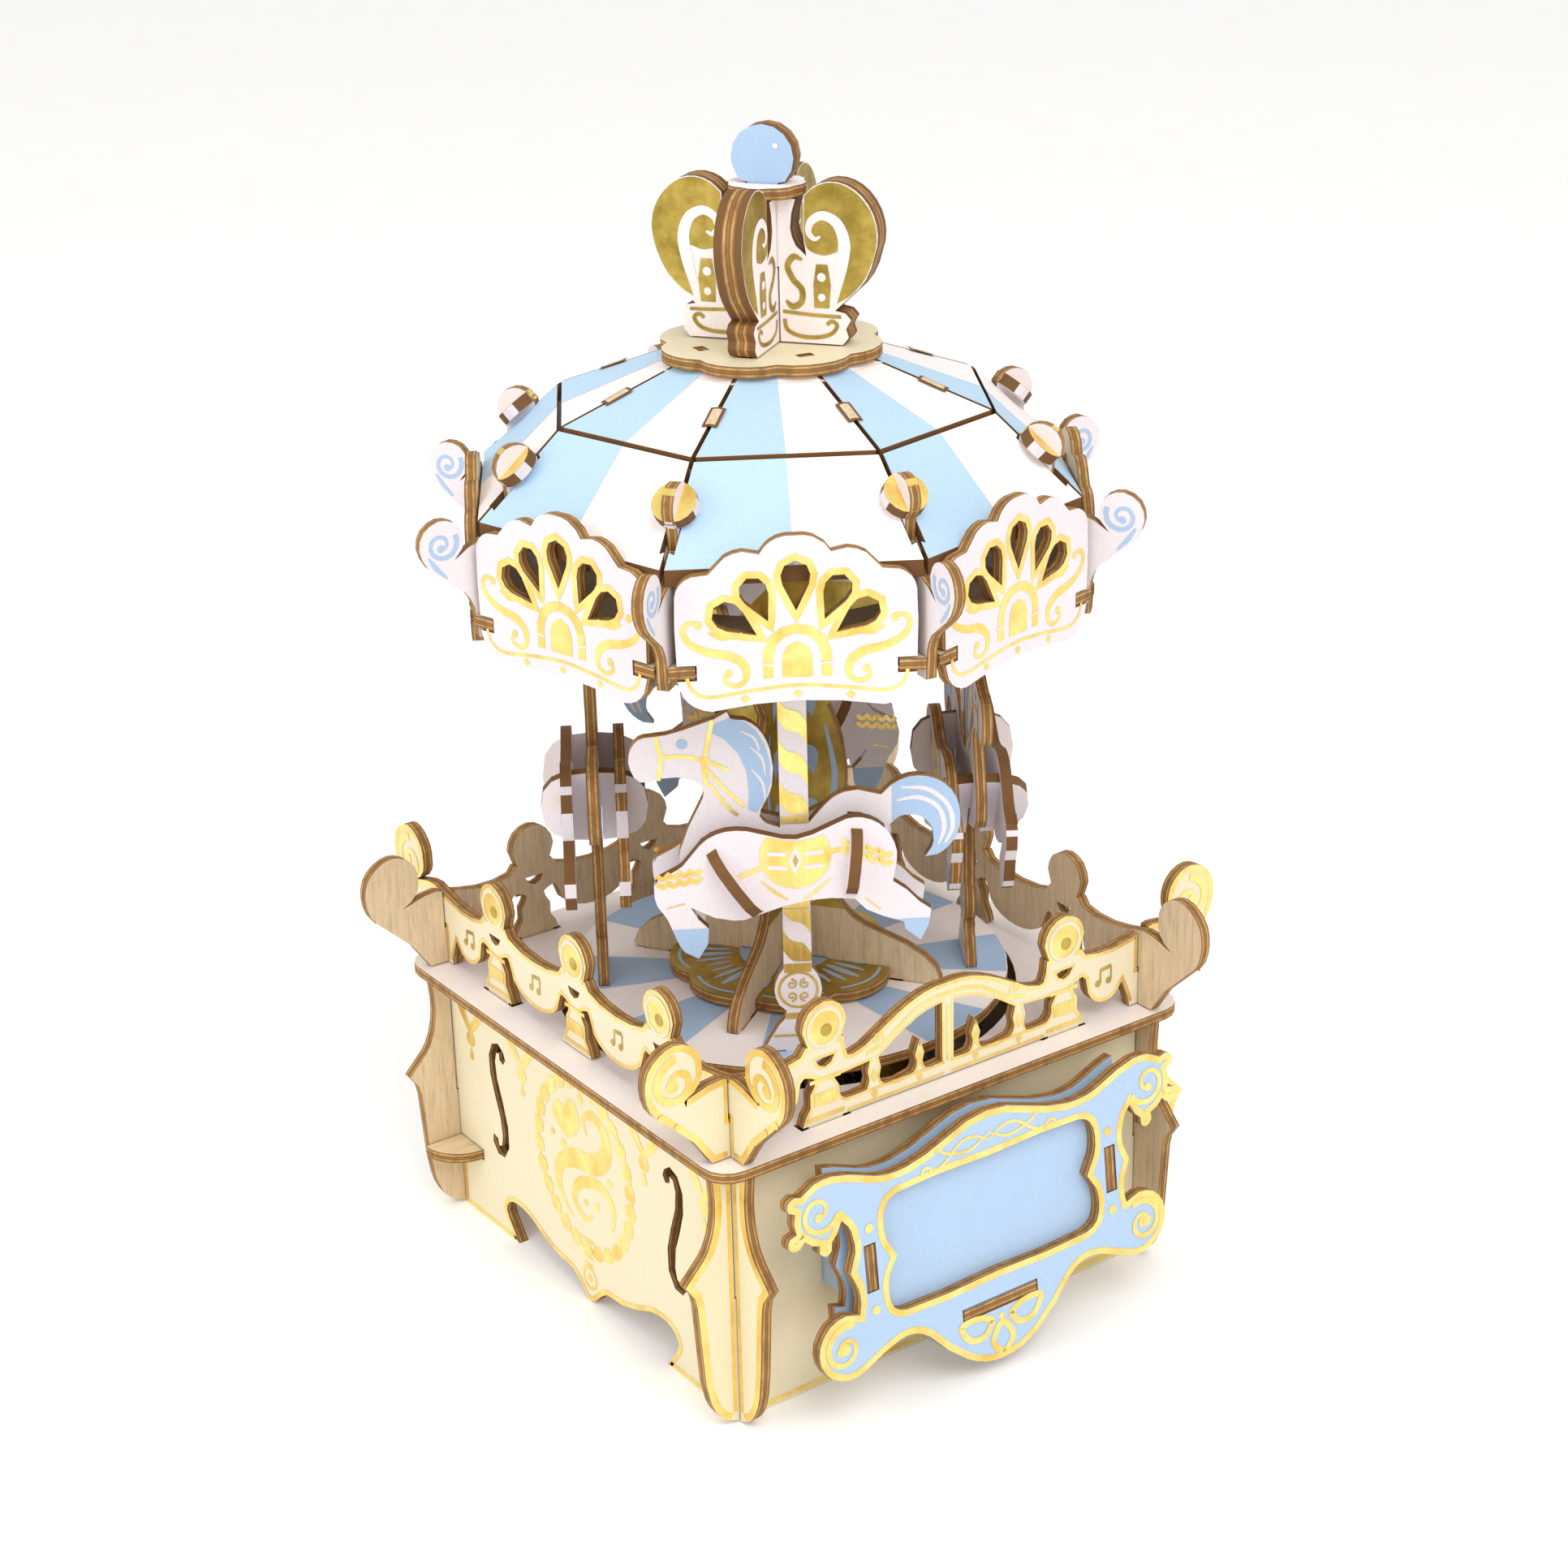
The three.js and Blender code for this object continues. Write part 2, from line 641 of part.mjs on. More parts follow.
// ---------------------------------------------------------------- name plaque
const PLAQUE_HALF = [
  [0, 17.5],
  [5, 16.9],
  [10, 15.3],
  [15, 13.5],
  [20, 12.5],
  [25, 12.6],
  [29, 13.8],
  [33, 15.4],
  [37, 16.4],
  [41, 16.2],
  [44.2, 14.6, 1],
  [45.6, 15.0],
  [47.2, 14.2],
  [47.2, 12.4],
  [45.8, 11.7, 1],
  [46.2, 9.6],
  [45.8, 7.6, 1],
  [47.4, 7.2],
  [47.9, 5.6],
  [46.8, 4.4],
  [45.2, 4.6],
  [44.2, 5.6, 1],
  [42.6, 4.2],
  [41.0, 3.6, 1],
  [41.2, 2.2],
  [39.8, 1.0],
  [38.4, 1.7],
  [38.2, 3.4, 1],
  [36.9, 4.6],
  [35.6, 6.9, 1],
  [34.2, 5.2],
  [33.3, 2.6],
  [33.2, -0.6],
  [34.7, -4.4, 1],
  [33.2, -8.0],
  [32.9, -11.2],
  [33.4, -13.4, 1],
  [36.6, -12.4],
  [40.4, -13.4],
  [43.0, -16.6],
  [43.2, -20.4],
  [41.0, -24.0],
  [37.0, -25.8],
  [33.0, -25.2],
  [28.6, -23.2],
  [24.6, -21.9],
  [21.0, -22.0],
  [17.6, -24.0],
  [13.6, -28.4],
  [9.0, -32.2],
  [4.4, -34.5],
  [0, -35.1],
];
const WINDOW_HALF = [
  [0, 8.2],
  [22.4, 8.2],
  [25.2, 6.8],
  [26.3, 3.4],
  [25.8, -0.6],
  [23.7, -4.4, 1],
  [25.8, -7.8],
  [26.3, -11.4],
  [25.4, -14.8],
  [22.6, -16.3],
  [0, -16.3],
];

// Frame of the leaning plaque: across, up its face, out from it.
function plaqueMatrix() {
  const lean = rad(PLAQUE_TILT);
  const across = new THREE.Vector3(1, 0, 0);
  const up = new THREE.Vector3(0, Math.sin(lean), Math.cos(lean));
  const out = new THREE.Vector3(0, -Math.cos(lean), Math.sin(lean));
  return new THREE.Matrix4().makeBasis(across, up, out).setPosition(0, -PLAQUE_OUT, PLAQUE_Z);
}
const leaningSheet = (points, front, thick, holes) =>
  placed(moved(sheet(points, thick, holes), 0, 0, front - thick), plaqueMatrix());
const leaningBlock = (across, up, out) => placed(bar(across, out, up), plaqueMatrix());

const CHEEK_TENON = [-9.6, -0.3]; // span of the cheek tenons up the plaque
const PROP_TENON = 9.1; // half span of the prop's tenon
const BACK_FRONT = -2 * PLY - FIT; // front of the second frame behind the plaque's face
const BACK_HALF = 35.8; // half width of that frame, which stops short of the front's curls

function plaqueSlots(grow) {
  const deep = [-4 * PLY, PLY];
  const half = PLY / 2 + grow;
  const cheeks = [-CHEEK_AT, CHEEK_AT].map((at) =>
    leaningBlock([at - half, at + half], [CHEEK_TENON[0] - grow, CHEEK_TENON[1] + grow], deep),
  );
  const prop = leaningBlock(
    [-PROP_TENON - grow, PROP_TENON + grow],
    [-PROP_DOWN - half, -PROP_DOWN + half],
    deep,
  );
  return [...cheeks, prop];
}

// Upright cheek between the wall and the plaque, with a tenon through both frames.
function plaqueCheek(side) {
  const lean = rad(PLAQUE_TILT);
  const back = BACK_FRONT - PLY - FIT;
  const wallY = -(HALF_Y + PLY / 2 + FIT);
  const place = (up, out) => [
    -PLAQUE_OUT + up * Math.sin(lean) - out * Math.cos(lean),
    PLAQUE_Z + up * Math.cos(lean) + out * Math.sin(lean),
  ];
  const [low, high] = CHEEK_TENON;
  const top = place(high + 4, back);
  const bottom = place(low - 4, back);
  const outline = [
    [wallY, bottom[1]],
    bottom,
    place(low, back),
    place(low, 0),
    place(high, 0),
    place(high, back),
    top,
    [wallY, top[1]],
  ];
  return wheelX(outline, side * CHEEK_AT - PLY / 2, side * CHEEK_AT + PLY / 2, 0, 0);
}

// Prop under the panel, square to the plaque, its back end cut to the wall.
function plaqueProp() {
  const back = BACK_FRONT - PLY - FIT;
  const thick = [-PROP_DOWN - PLY / 2, -PROP_DOWN + PLY / 2];
  const tenon = bar([-PROP_TENON, PROP_TENON], [back - 1, 0], thick);
  const body = bar([-PROP_TENON - 4, PROP_TENON + 4], [back - 14, back], thick);
  const inside = -(HALF_Y + PLY / 2 + FIT);
  const wallSide = block(-90, [-60, 60], [0, -inside], [-9, 90]);
  return cutBy(placed(joined([tenon, body]), plaqueMatrix()), [wallSide]);
}

function plaqueBack() {
  const opening = trace(bothSides(WINDOW_HALF.map(([across, up]) => [across * 0.8, up * 0.7 - 1])));
  const whole = leaningSheet(trace(bothSides(PLAQUE_HALF)), BACK_FRONT, PLY, [opening]);
  const keep = leaningBlock([-BACK_HALF, BACK_HALF], [-40, 40], [-4 * PLY, PLY]);
  const frame = common(whole, keep);
  const reach = CHEEK_AT - PLY / 2 - 1.2;
  const panel = leaningSheet(
    [
      [-reach, -19.5],
      [reach, -19.5],
      [reach, 10.4],
      [-reach, 10.4],
    ],
    -PLY - FIT,
    PLY + EASE,
  );
  return cutBy(joined([frame, panel]), plaqueSlots(FIT));
}

// ---------------------------------------------------------------- musical movement
// Points of a toothed wheel; the first tooth is centred at the given phase in degrees.
function gearPoints(teeth, pitchRadius, addendum, dedendum, phase) {
  const step = 360 / teeth;
  const points = [];
  for (let index = 0; index < teeth; index++) {
    const middle = phase + index * step;
    for (const [share, radius] of [
      [-0.27, pitchRadius - dedendum],
      [-0.1, pitchRadius + addendum],
      [0.1, pitchRadius + addendum],
      [0.27, pitchRadius - dedendum],
    ]) {
      const angle = rad(middle + share * step);
      points.push([radius * Math.cos(angle), radius * Math.sin(angle)]);
    }
  }
  return points;
}

function springBarrel() {
  const pieces = [
    cylinderZ(BARREL_RADIUS, BARREL_BOTTOM, BARREL_TOP, 48),
    cylinderZ(SPINDLE_RADIUS, BARREL_TOP - 1, TABLE_BOTTOM - FIT, 20),
    cylinderZ(MEDALLION_HUB, TABLE_BOTTOM - FIT - PLY, TABLE_BOTTOM - FIT, 28),
  ];
  const half = ((CROWN_PITCH * Math.PI) / CROWN_TEETH) * 0.36;
  const reach = [CROWN_PITCH - 1.2, CROWN_PITCH + 1.2];
  for (let index = 0; index < CROWN_TEETH; index++) {
    const azimuth = (index * 360) / CROWN_TEETH;
    const rise = [BARREL_TOP - 0.5, BARREL_TOP + TOOTH_RISE];
    pieces.push(block(azimuth, [-half, half], reach, rise));
  }
  const bore = cylinderZ(ARBOR_RADIUS + FIT, BARREL_BOTTOM - 1, BARREL_TOP - 2, 20);
  return cutBy(joined(pieces), [bore]);
}

function pinnedCylinder() {
  const y = 0;
  const step = 360 / PINION_TEETH;
  const pinion = gearPoints(PINION_TEETH, PINION_RADIUS, 0.7, 1.0, 90 + step / 2);
  const wheel = gearPoints(WHEEL_TEETH, WHEEL_RADIUS, 0.55, 0.8, 0);
  const face = [CROWN_PITCH - 0.9, CROWN_PITCH + 0.9];
  const pieces = [
    wheelX(pinion, face[0], face[1], y, CYLINDER_Z),
    cylinderX(SHAFT_RADIUS, face[0], WHEEL_START + 6.2, y, CYLINDER_Z, 12),
    cylinderX(CYLINDER_RADIUS, CYLINDER_START, WHEEL_START, y, CYLINDER_Z, 28),
    wheelX(wheel, WHEEL_START - 0.2, WHEEL_START + 1.4, y, CYLINDER_Z),
  ];
  const pitch = (CYLINDER_LENGTH - 3) / NOTES;
  for (let note = 0; note < NOTES; note++) {
    const along = CYLINDER_START + 1.5 + (note + 0.5) * pitch;
    const pin = bar([-0.2, 0.2], [-0.2, 0.2], [CYLINDER_RADIUS - 0.3, CYLINDER_RADIUS + 0.6]);
    pieces.push(turnedX(pin, note * 67 + 30, along, y, CYLINDER_Z));
  }
  return joined(pieces);
}

function fly() {
  const start = CYLINDER_START;
  const pinion = gearPoints(FLY_TEETH, FLY_RADIUS, 0.5, 0.75, 180 / FLY_TEETH);
  const pieces = [
    wheelX(pinion, WHEEL_START - 0.4, WHEEL_START + 1.6, FLY_Y, CYLINDER_Z),
    cylinderX(SHAFT_RADIUS * 0.7, start - 1.6, WHEEL_START + 6.2, FLY_Y, CYLINDER_Z, 10),
  ];
  for (const angle of [0, 90]) {
    const blade = bar([start + 3.5, start + 14.5], [-3.7, 3.7], [-0.25, 0.25]);
    pieces.push(turnedX(blade, angle, 0, FLY_Y, CYLINDER_Z));
  }
  return joined(pieces);
}

const BED_FROM = -19; // left end of the bedplate
const BED_HALF_Y = 21; // half depth of the bedplate
const COMB_GAP = 1.4; // tips of the comb to the surface of the cylinder
const COMB_REACH = 9; // length of the comb's teeth
function combBlock() {
  const front = -(CYLINDER_RADIUS + COMB_GAP);
  return { front, root: front - COMB_REACH, rear: -BED_HALF_Y + 1 };
}

function bedplate() {
  const right = HALF_X - PLY / 2 - FIT;
  const { root, rear } = combBlock();
  const plate = flat(
    [
      [BED_FROM, -BED_HALF_Y],
      [right - 0.6, -BED_HALF_Y],
      [right - 0.6, BED_HALF_Y],
      [BED_FROM, BED_HALF_Y],
    ],
    BED_BOTTOM,
    BED_THICK,
  );
  const rest = flat(
    [
      [CYLINDER_START + 1, rear],
      [WHEEL_START - 1, rear],
      [WHEEL_START - 1, root - 0.4],
      [CYLINDER_START + 1, root - 0.4],
    ],
    BED_TOP - 0.5,
    CYLINDER_Z - FIT - BED_TOP + 0.5,
  );
  const up = [BED_TOP - 0.5, CYLINDER_Z + 3.4];
  const near = block(0, [-3.6, FLY_Y + 3], [CYLINDER_START - 1.9, CYLINDER_START - 0.4], up);
  const far = block(0, [-3.6, FLY_Y + 3], [WHEEL_START + 2.2, WHEEL_START + 4], up);
  const low = [CYLINDER_START - 3, CYLINDER_START + 1];
  const high = [WHEEL_START + 1, WHEEL_START + 6];
  const bores = [];
  for (const [from, to] of [low, high]) {
    bores.push(cylinderX(SHAFT_RADIUS + FIT, from, to, 0, CYLINDER_Z, 14));
    bores.push(cylinderX(SHAFT_RADIUS * 0.7 + FIT, from, to, FLY_Y, CYLINDER_Z, 12));
  }
  const bore = cylinderZ(ARBOR_RADIUS + FIT, BED_BOTTOM - 1, BED_TOP + 1, 20);
  return cutBy(joined([plate, rest, near, far]), [...bores, bore]);
}

function comb() {
  const { front, root, rear } = combBlock();
  const left = CYLINDER_START + 1.5;
  const right = WHEEL_START - 1.5;
  const pitch = (right - left) / NOTES;
  const outline = [
    [left, rear],
    [right, rear],
  ];
  for (let note = NOTES - 1; note >= 0; note--) {
    const from = left + note * pitch + 0.15;
    const to = left + (note + 1) * pitch - 0.15;
    outline.push([to, root], [to, front], [from, front], [from, root]);
  }
  const plate = flat(outline, CYLINDER_Z, 0.9);
  const screws = [0.25, 0.75].map((share) =>
    flat(
      circlePoints(left + (right - left) * share, (root + rear) / 2, 1.5, 12),
      CYLINDER_Z + 0.8,
      1.1,
    ),
  );
  return joined([plate, ...screws]);
}

function windingKey() {
  const grip = trace(
    bothSides([
      [0, 11.2],
      [3.2, 10.6],
      [8.6, 11.6],
      [11.2, 8.6],
      [10.4, 5.0],
      [7.0, 3.2],
      [3.0, 5.2],
      [0, 5.6],
    ]),
  );
  return joined([
    cylinderZ(ARBOR_RADIUS, 9, BARREL_BOTTOM + 5, 18),
    cylinderZ(ARBOR_RADIUS + 0.8, 8.2, SHELF_BOTTOM - 1.2, 18),
    upright(grip, -90, 0, 1.6),
  ]);
}

// ---------------------------------------------------------------- turntable, medallion, column
const faceAzimuth = (index) => FACE_TURN + (index * 360) / SIDES;
const ridgeAzimuth = (index) => faceAzimuth(index) - 180 / SIDES;
const horseAzimuth = (index) => FACE_TURN + (index * 360) / HORSES;
const columnAzimuths = [ridgeAzimuth(0), ridgeAzimuth(2)];
const TENON_HALF = 2.6; // half width of the tenon under a pole and above it
const COLUMN_TENON = [25.5, 30.5]; // span of the tenons under the skirts of the column

// A block in a radial plane: out along the azimuth, across it by half the given width.
const radialBlock = (azimuth, out, halfWidth, up) => block(azimuth, [-halfWidth, halfWidth], out, up);

function turntable() {
  const board = flat(circlePoints(0, 0, TABLE_RADIUS, 96), TABLE_BOTTOM);
  const up = [TABLE_BOTTOM - 1, TABLE_TOP + 1];
  const mortises = [];
  for (let index = 0; index < HORSES; index++) {
    const reach = TENON_HALF + FIT;
    const out = [POLE_RADIUS - LAP, POLE_RADIUS + LAP];
    mortises.push(block(horseAzimuth(index), [-reach, reach], out, up));
    const span = [COLUMN_TENON[0] - 3.5, COLUMN_TENON[1] + FIT];
    mortises.push(radialBlock(ridgeAzimuth(2 * index), span, LAP, up));
  }
  return cutBy(board, mortises);
}

function scallopPoints(radius, lobes, depth, perLobe, phase) {
  const points = [];
  const total = lobes * perLobe;
  for (let index = 0; index < total; index++) {
    const share = (index % perLobe) / perLobe;
    const reach = radius - depth * Math.pow(Math.abs(2 * share - 1), 2.4);
    const angle = rad(phase + (index * 360) / total);
    points.push([reach * Math.cos(angle), reach * Math.sin(angle)]);
  }
  return points;
}

function medallion() {
  const phase = ridgeAzimuth(0);
  const points = scallopPoints(MEDALLION_RADIUS, SIDES, 2.1, 8, phase);
  const up = [MEDALLION_BOTTOM - 1, MEDALLION_BOTTOM + PLY + 1];
  const slots = [0, 2, 4, 6].map((index) =>
    radialBlock(ridgeAzimuth(index), [MEDALLION_HUB, MEDALLION_RADIUS + 2], LAP, up),
  );
  return cutBy(flat(points, MEDALLION_BOTTOM), slots);
}

// Height of the underside of the roof along a ridge.
const lowerFaceSlope = (TIER_Z - EAVES_Z) / (EAVES_APOTHEM - TIER_RADIUS * Math.cos(rad(22.5)));
const upperFaceSlope = (CAP_Z - TIER_Z) / ((TIER_RADIUS - CAP_RADIUS) * Math.cos(rad(22.5)));
const EAVES_RADIUS = EAVES_APOTHEM / Math.cos(rad(22.5));
function ridgeUnderside(radius) {
  const onLower = radius > TIER_RADIUS;
  const rise = Math.cos(rad(22.5)) * (onLower ? lowerFaceSlope : upperFaceSlope);
  const surface = TIER_Z - (radius - TIER_RADIUS) * rise;
  const slope = onLower ? lowerFaceSlope : upperFaceSlope;
  const besideRidge = LAP * Math.sin(rad(22.5)) * slope;
  return surface - PLY * Math.hypot(1, slope) - besideRidge - FIT;
}

// Outer end of a rib from the eaves round its curl to its foot beside the valances.
const ribOuterKnots = () => [
  [EAVES_RADIUS - 1.2, ridgeUnderside(EAVES_RADIUS - 1.2), 1],
  [EAVES_RADIUS + 2.4, EAVES_Z - 4.2],
  [EAVES_RADIUS + 5.4, EAVES_Z - 6.3, 1],
  [EAVES_RADIUS + 3.7, EAVES_Z - 4.2],
  [EAVES_RADIUS + 3.4, EAVES_Z - 1.6],
  [EAVES_RADIUS + 5.0, EAVES_Z + 0.9],
  [EAVES_RADIUS + 8.0, EAVES_Z + 1.6],
  [EAVES_RADIUS + 11.0, EAVES_Z - 0.2],
  [EAVES_RADIUS + 12.0, EAVES_Z - 3.5],
  [EAVES_RADIUS + 10.5, EAVES_Z - 7.2],
  [EAVES_RADIUS + 7.2, EAVES_Z - 10.2],
  [EAVES_RADIUS + 3.7, EAVES_Z - 12.8],
  [EAVES_RADIUS + 2.0, EAVES_Z - 16.0],
  [EAVES_RADIUS + 1.5, CEILING_BOTTOM - 2.3, 1],
  [EAVES_RADIUS - 4.4, CEILING_BOTTOM - 2.3, 1],
  [EAVES_RADIUS - 5.6, CEILING_BOTTOM],
  [EAVES_RADIUS - 6.2, CEILING_TOP + 0.6, 1],
];
const ribTopKnots = (from) => [
  [from, ridgeUnderside(CAP_RADIUS), 1],
  [CAP_RADIUS, ridgeUnderside(CAP_RADIUS), 1],
  [TIER_RADIUS, ridgeUnderside(TIER_RADIUS + 1e-6), 1],
];

// Ball ornament in the plane of its rib: a disc, its stalk down to the rib, and a disc along the slope.
function ballOrnament(side) {
  const disc = facing(circlePoints(side * BALL_AT, BALL_Z, BALL_RADIUS, 18), 0);
  const stalkHalf = [
    [BALL_AT - 1.8, BALL_Z - BALL_RADIUS - 4],
    [BALL_AT + 1.8, BALL_Z - BALL_RADIUS - 5],
    [BALL_AT + 2.6, BALL_Z - 1],
    [BALL_AT - 2.6, BALL_Z],
  ];
  const stalk = facing(side > 0 ? stalkHalf : mirrored(stalkHalf), 0);
  const slope = Math.atan(lowerFaceSlope * Math.cos(rad(22.5)));
  const along = new THREE.Vector3(0, 0, 1);
  const downhill = new THREE.Vector3(side * Math.cos(slope), -Math.sin(slope), 0);
  const normal = new THREE.Vector3().crossVectors(along, downhill);
  const basis = new THREE.Matrix4().makeBasis(along, downhill, normal);
  basis.setPosition(side * BALL_AT, BALL_Z, 0);
  return [disc, stalk, placed(facing(circlePoints(0, 0, BALL_RADIUS, 18), 0), basis)];
}

const RIB_INNER = 4.2; // inner end of a plain rib
const COLUMN_HALF = [
  [MEDALLION_HUB + FIT, MEDALLION_BOTTOM + PLY + FIT, 1],
  [MEDALLION_HUB + FIT, FOOT_Z, 1],
  [33, FOOT_Z, 1],
  [33.2, FOOT_Z + 1],
  [32.2, FOOT_Z + 3.4],
  [29.8, FOOT_Z + 5.8],
  [25.8, FOOT_Z + 8.0],
  [21.0, FOOT_Z + 9.8],
  [17.0, FOOT_Z + 11.2],
  [13.9, FOOT_Z + 13.4],
  [11.6, FOOT_Z + 16.6],
  [10.6, FOOT_Z + 21.4],
  [10.9, FOOT_Z + 29.0],
  [12.6, FOOT_Z + 36.0],
  [13.6, FOOT_Z + 42.0],
  [13.3, FOOT_Z + 48.0],
  [11.9, FOOT_Z + 54.0],
  [10.2, FOOT_Z + 58.2, 1],
  [12.4, 122.8],
  [15.4, 127.0],
  [19.5, 132.6],
  [24.5, 139.2],
  [CEILING_BORE - 4.5, CEILING_BOTTOM - 1.7],
  [CEILING_BORE - 1.9, CEILING_TOP + 1.0],
  [CEILING_BORE + 1.5, CEILING_TOP + 2.4],
  [44.0, CEILING_TOP + 2.4],
];

// Column plate across the whole carousel; one is slotted from above, the other from below.
const COLUMN_LAP_Z = 125;
function columnPlate(azimuth, slotAbove) {
  const half = [
    ...ribTopKnots(0),
    ...ribOuterKnots(),
    ...[...COLUMN_HALF].reverse(),
    [0, MEDALLION_BOTTOM + PLY + FIT, 1],
  ];
  const pieces = [facing(trace([...half, ...mirrorKnots(half.slice(1, -1))]), 0)];
  for (const side of [-1, 1]) {
    const span = bySide(COLUMN_TENON, side);
    pieces.push(bar(span, [-PLY / 2, PLY / 2], [TABLE_BOTTOM, FOOT_Z + 1]), ...ballOrnament(side));
  }
  const slotUp = slotAbove ? [COLUMN_LAP_Z - EASE, CAP_Z + 5] : [FOOT_Z - 5, COLUMN_LAP_Z + EASE];
  const slot = bar([-LAP, LAP], [-PLY, PLY], slotUp);
  return standing(azimuth - 90, cutBy(joined(pieces), [slot]));
}

function plainRib(azimuth) {
  const outline = [
    ...ribTopKnots(RIB_INNER + 3),
    ...ribOuterKnots(),
    [EAVES_RADIUS - 10, CEILING_TOP + 6],
    [40, CEILING_TOP + 12],
    [26, CEILING_TOP + 21],
    [RIB_INNER + 3, CEILING_TOP + 26, 1],
  ];
  return standing(azimuth - 90, joined([facing(trace(outline), 0), ...ballOrnament(1)]));
}

// ---------------------------------------------------------------- horses
const HORSE_Z = FOOT_Z + 45.7; // height of a saddle's lowest point
const POLE_BOTTOM = FOOT_Z;
const horseUp = (list) =>
  list.map(([across, up, corner]) => (corner ? [across, up + HORSE_Z, 1] : [across, up + HORSE_Z]));

const NECK_AND_CHEST = horseUp([
  [-POLE_HALF, -14.6, 1],
  [-9, -12.5],
  [-14.5, -11],
  [-18.6, -9.4],
  [-21.2, -7],
  [-21.9, -4],
  [-21.2, -0.9],
  [-19.9, 2.4],
  [-18.4, 5.4],
  [-17.0, 8.2],
  [-17.0, 10.2],
  [-18.7, 11.8],
  [-21.6, 12.6],
  [-24.6, 12.5],
  [-27.2, 11.9],
  [-28.6, 11.9],
  [-29.7, 13.0],
  [-30.6, 16.0],
  [-30.1, 18.6],
  [-28.6, 20.4],
  [-26.4, 20.9],
  [-23.6, 21.1],
  [-20.4, 21.9],
  [-17.2, 23.0],
  [-14.4, 23.9],
  [-12.0, 25.2, 1],
  [-11.4, 23.7, 1],
  [-8.8, 23.4],
  [-6.5, 21.8],
  [-4.8, 19.0],
  [-3.9, 15.4],
  [-3.8, 11.8],
  [-4.6, 8.4],
  [-6.2, 5.4],
  [-6.5, 4.0],
  [-5.2, 2.4],
  [-POLE_HALF, 1.4, 1],
]);
const RUMP_AND_TAIL = horseUp([
  [POLE_HALF, 2.1, 1],
  [4.6, 4.3],
  [7.0, 6.8],
  [9.5, 8.1],
  [12.0, 8.4],
  [14.6, 7.8],
  [16.4, 7.2, 1],
  [18.5, 9.2],
  [21.6, 10.6],
  [25.2, 10.5],
  [28.4, 8.9],
  [30.6, 6.0],
  [31.4, 2.4],
  [30.9, -1.2],
  [29.1, -4.0],
  [26.9, -5.6],
  [24.7, -5.9, 1],
  [26.0, -3.9],
  [26.3, -1.6],
  [25.7, 0.6],
  [24.1, 2.3],
  [21.9, 2.9],
  [19.6, 2.5],
  [17.9, 1.0, 1],
  [18.1, -3.4],
  [16.6, -7.2],
  [13.0, -10.2],
  [8.6, -12.3],
  [POLE_HALF, -14.2, 1],
]);
// Lower end of the pole: ring ornament and flared foot, right side going down.
const POLE_FOOT = [
  [POLE_HALF, FOOT_Z + 17.6, 1],
  [3.7, FOOT_Z + 16.2],
  [4.6, FOOT_Z + 13.0],
  [3.7, FOOT_Z + 9.8],
  [POLE_HALF - 0.4, FOOT_Z + 8.5, 1],
  [POLE_HALF, FOOT_Z + 6.8],
  [3.9, FOOT_Z + 5.4],
  [5.4, FOOT_Z + 2.8],
  [6.6, FOOT_Z + 0.8],
  [6.6, POLE_BOTTOM, 1],
];
const SIDE_PLATE = horseUp([
  [-26.9, -8.0],
  [-26.0, -5.8],
  [-23.6, -4.6],
  [-21.4, -3.2],
  [-19.4, -0.6],
  [-16.6, 2.1],
  [-13.2, 3.4],
  [-9.2, 3.3],
  [-5.6, 2.4],
  [-2.6, 1.4],
  [0, 1.2],
  [3.0, 2.0],
  [6.2, 3.5],
  [9.4, 4.9],
  [12.4, 5.0],
  [15.4, 3.7],
  [17.6, 1.2],
  [18.8, -2.2],
  [18.5, -5.6],
  [18.0, -8.3, 1],
  [20.6, -10.2],
  [23.0, -12.8],
  [25.2, -14.4, 1],
  [24.7, -17.6],
  [23.2, -20.8, 1],
  [20.3, -18.4],
  [20.0, -16.8, 1],
  [16.2, -15.5],
  [12.9, -13.9],
  [10.8, -11.6, 1],
  [6.4, -11.2],
  [2.2, -11.4],
  [-2.6, -12.4],
  [-6.4, -13.7],
  [-10.2, -14.9],
  [-14.2, -14.6],
  [-17.2, -13.5],
  [-20.2, -11.8, 1],
  [-18.9, -14.2],
  [-16.9, -16.4, 1],
  [-17.2, -19.6],
  [-19.0, -22.5, 1],
  [-21.6, -21.0],
  [-23.3, -17.6],
  [-24.6, -14.0],
  [-26.4, -11.2],
]);
// Ends of the two oval plates across a horse, in the plane of the horse.
const SPREADERS = [
  [[-16.6, 0.4], [-6.7, -14.6]],
  [[11.4, 3.7], [9.8, -11.4]],
];

// Oval plate across a horse; `grow` thickens and lengthens it when it serves as a cutter.
function spreader([upper, lower], grow, share) {
  const length = Math.hypot(upper[0] - lower[0], upper[1] - lower[1]);
  const reach = SPREADER_REACH + grow;
  const tall = length / 2 + grow;
  const oval = Array.from({ length: 16 }, (unused, index) => {
    const angle = (index / 16) * Math.PI * 2;
    const squared = (value) => Math.sign(value) * Math.pow(Math.abs(value), 0.72);
    return [reach * squared(Math.cos(angle)), tall * squared(Math.sin(angle))];
  });
  const board = facing(oval, 0, PLY + 2 * grow);
  const wide = new THREE.Vector3(0, 0, 1);
  const along = new THREE.Vector3((upper[0] - lower[0]) / length, (upper[1] - lower[1]) / length, 0);
  const basis = new THREE.Matrix4().makeBasis(wide, along, new THREE.Vector3().crossVectors(wide, along));
  basis.setPosition((upper[0] + lower[0]) / 2, HORSE_Z + (upper[1] + lower[1]) / 2, POLE_RADIUS);
  if (!share) return placed(board, basis);
  const far = 2 * SPREADER_REACH;
  return placed(common(board, bar([-far, far], [-far, far], bySide([0, far], share))), basis);
}

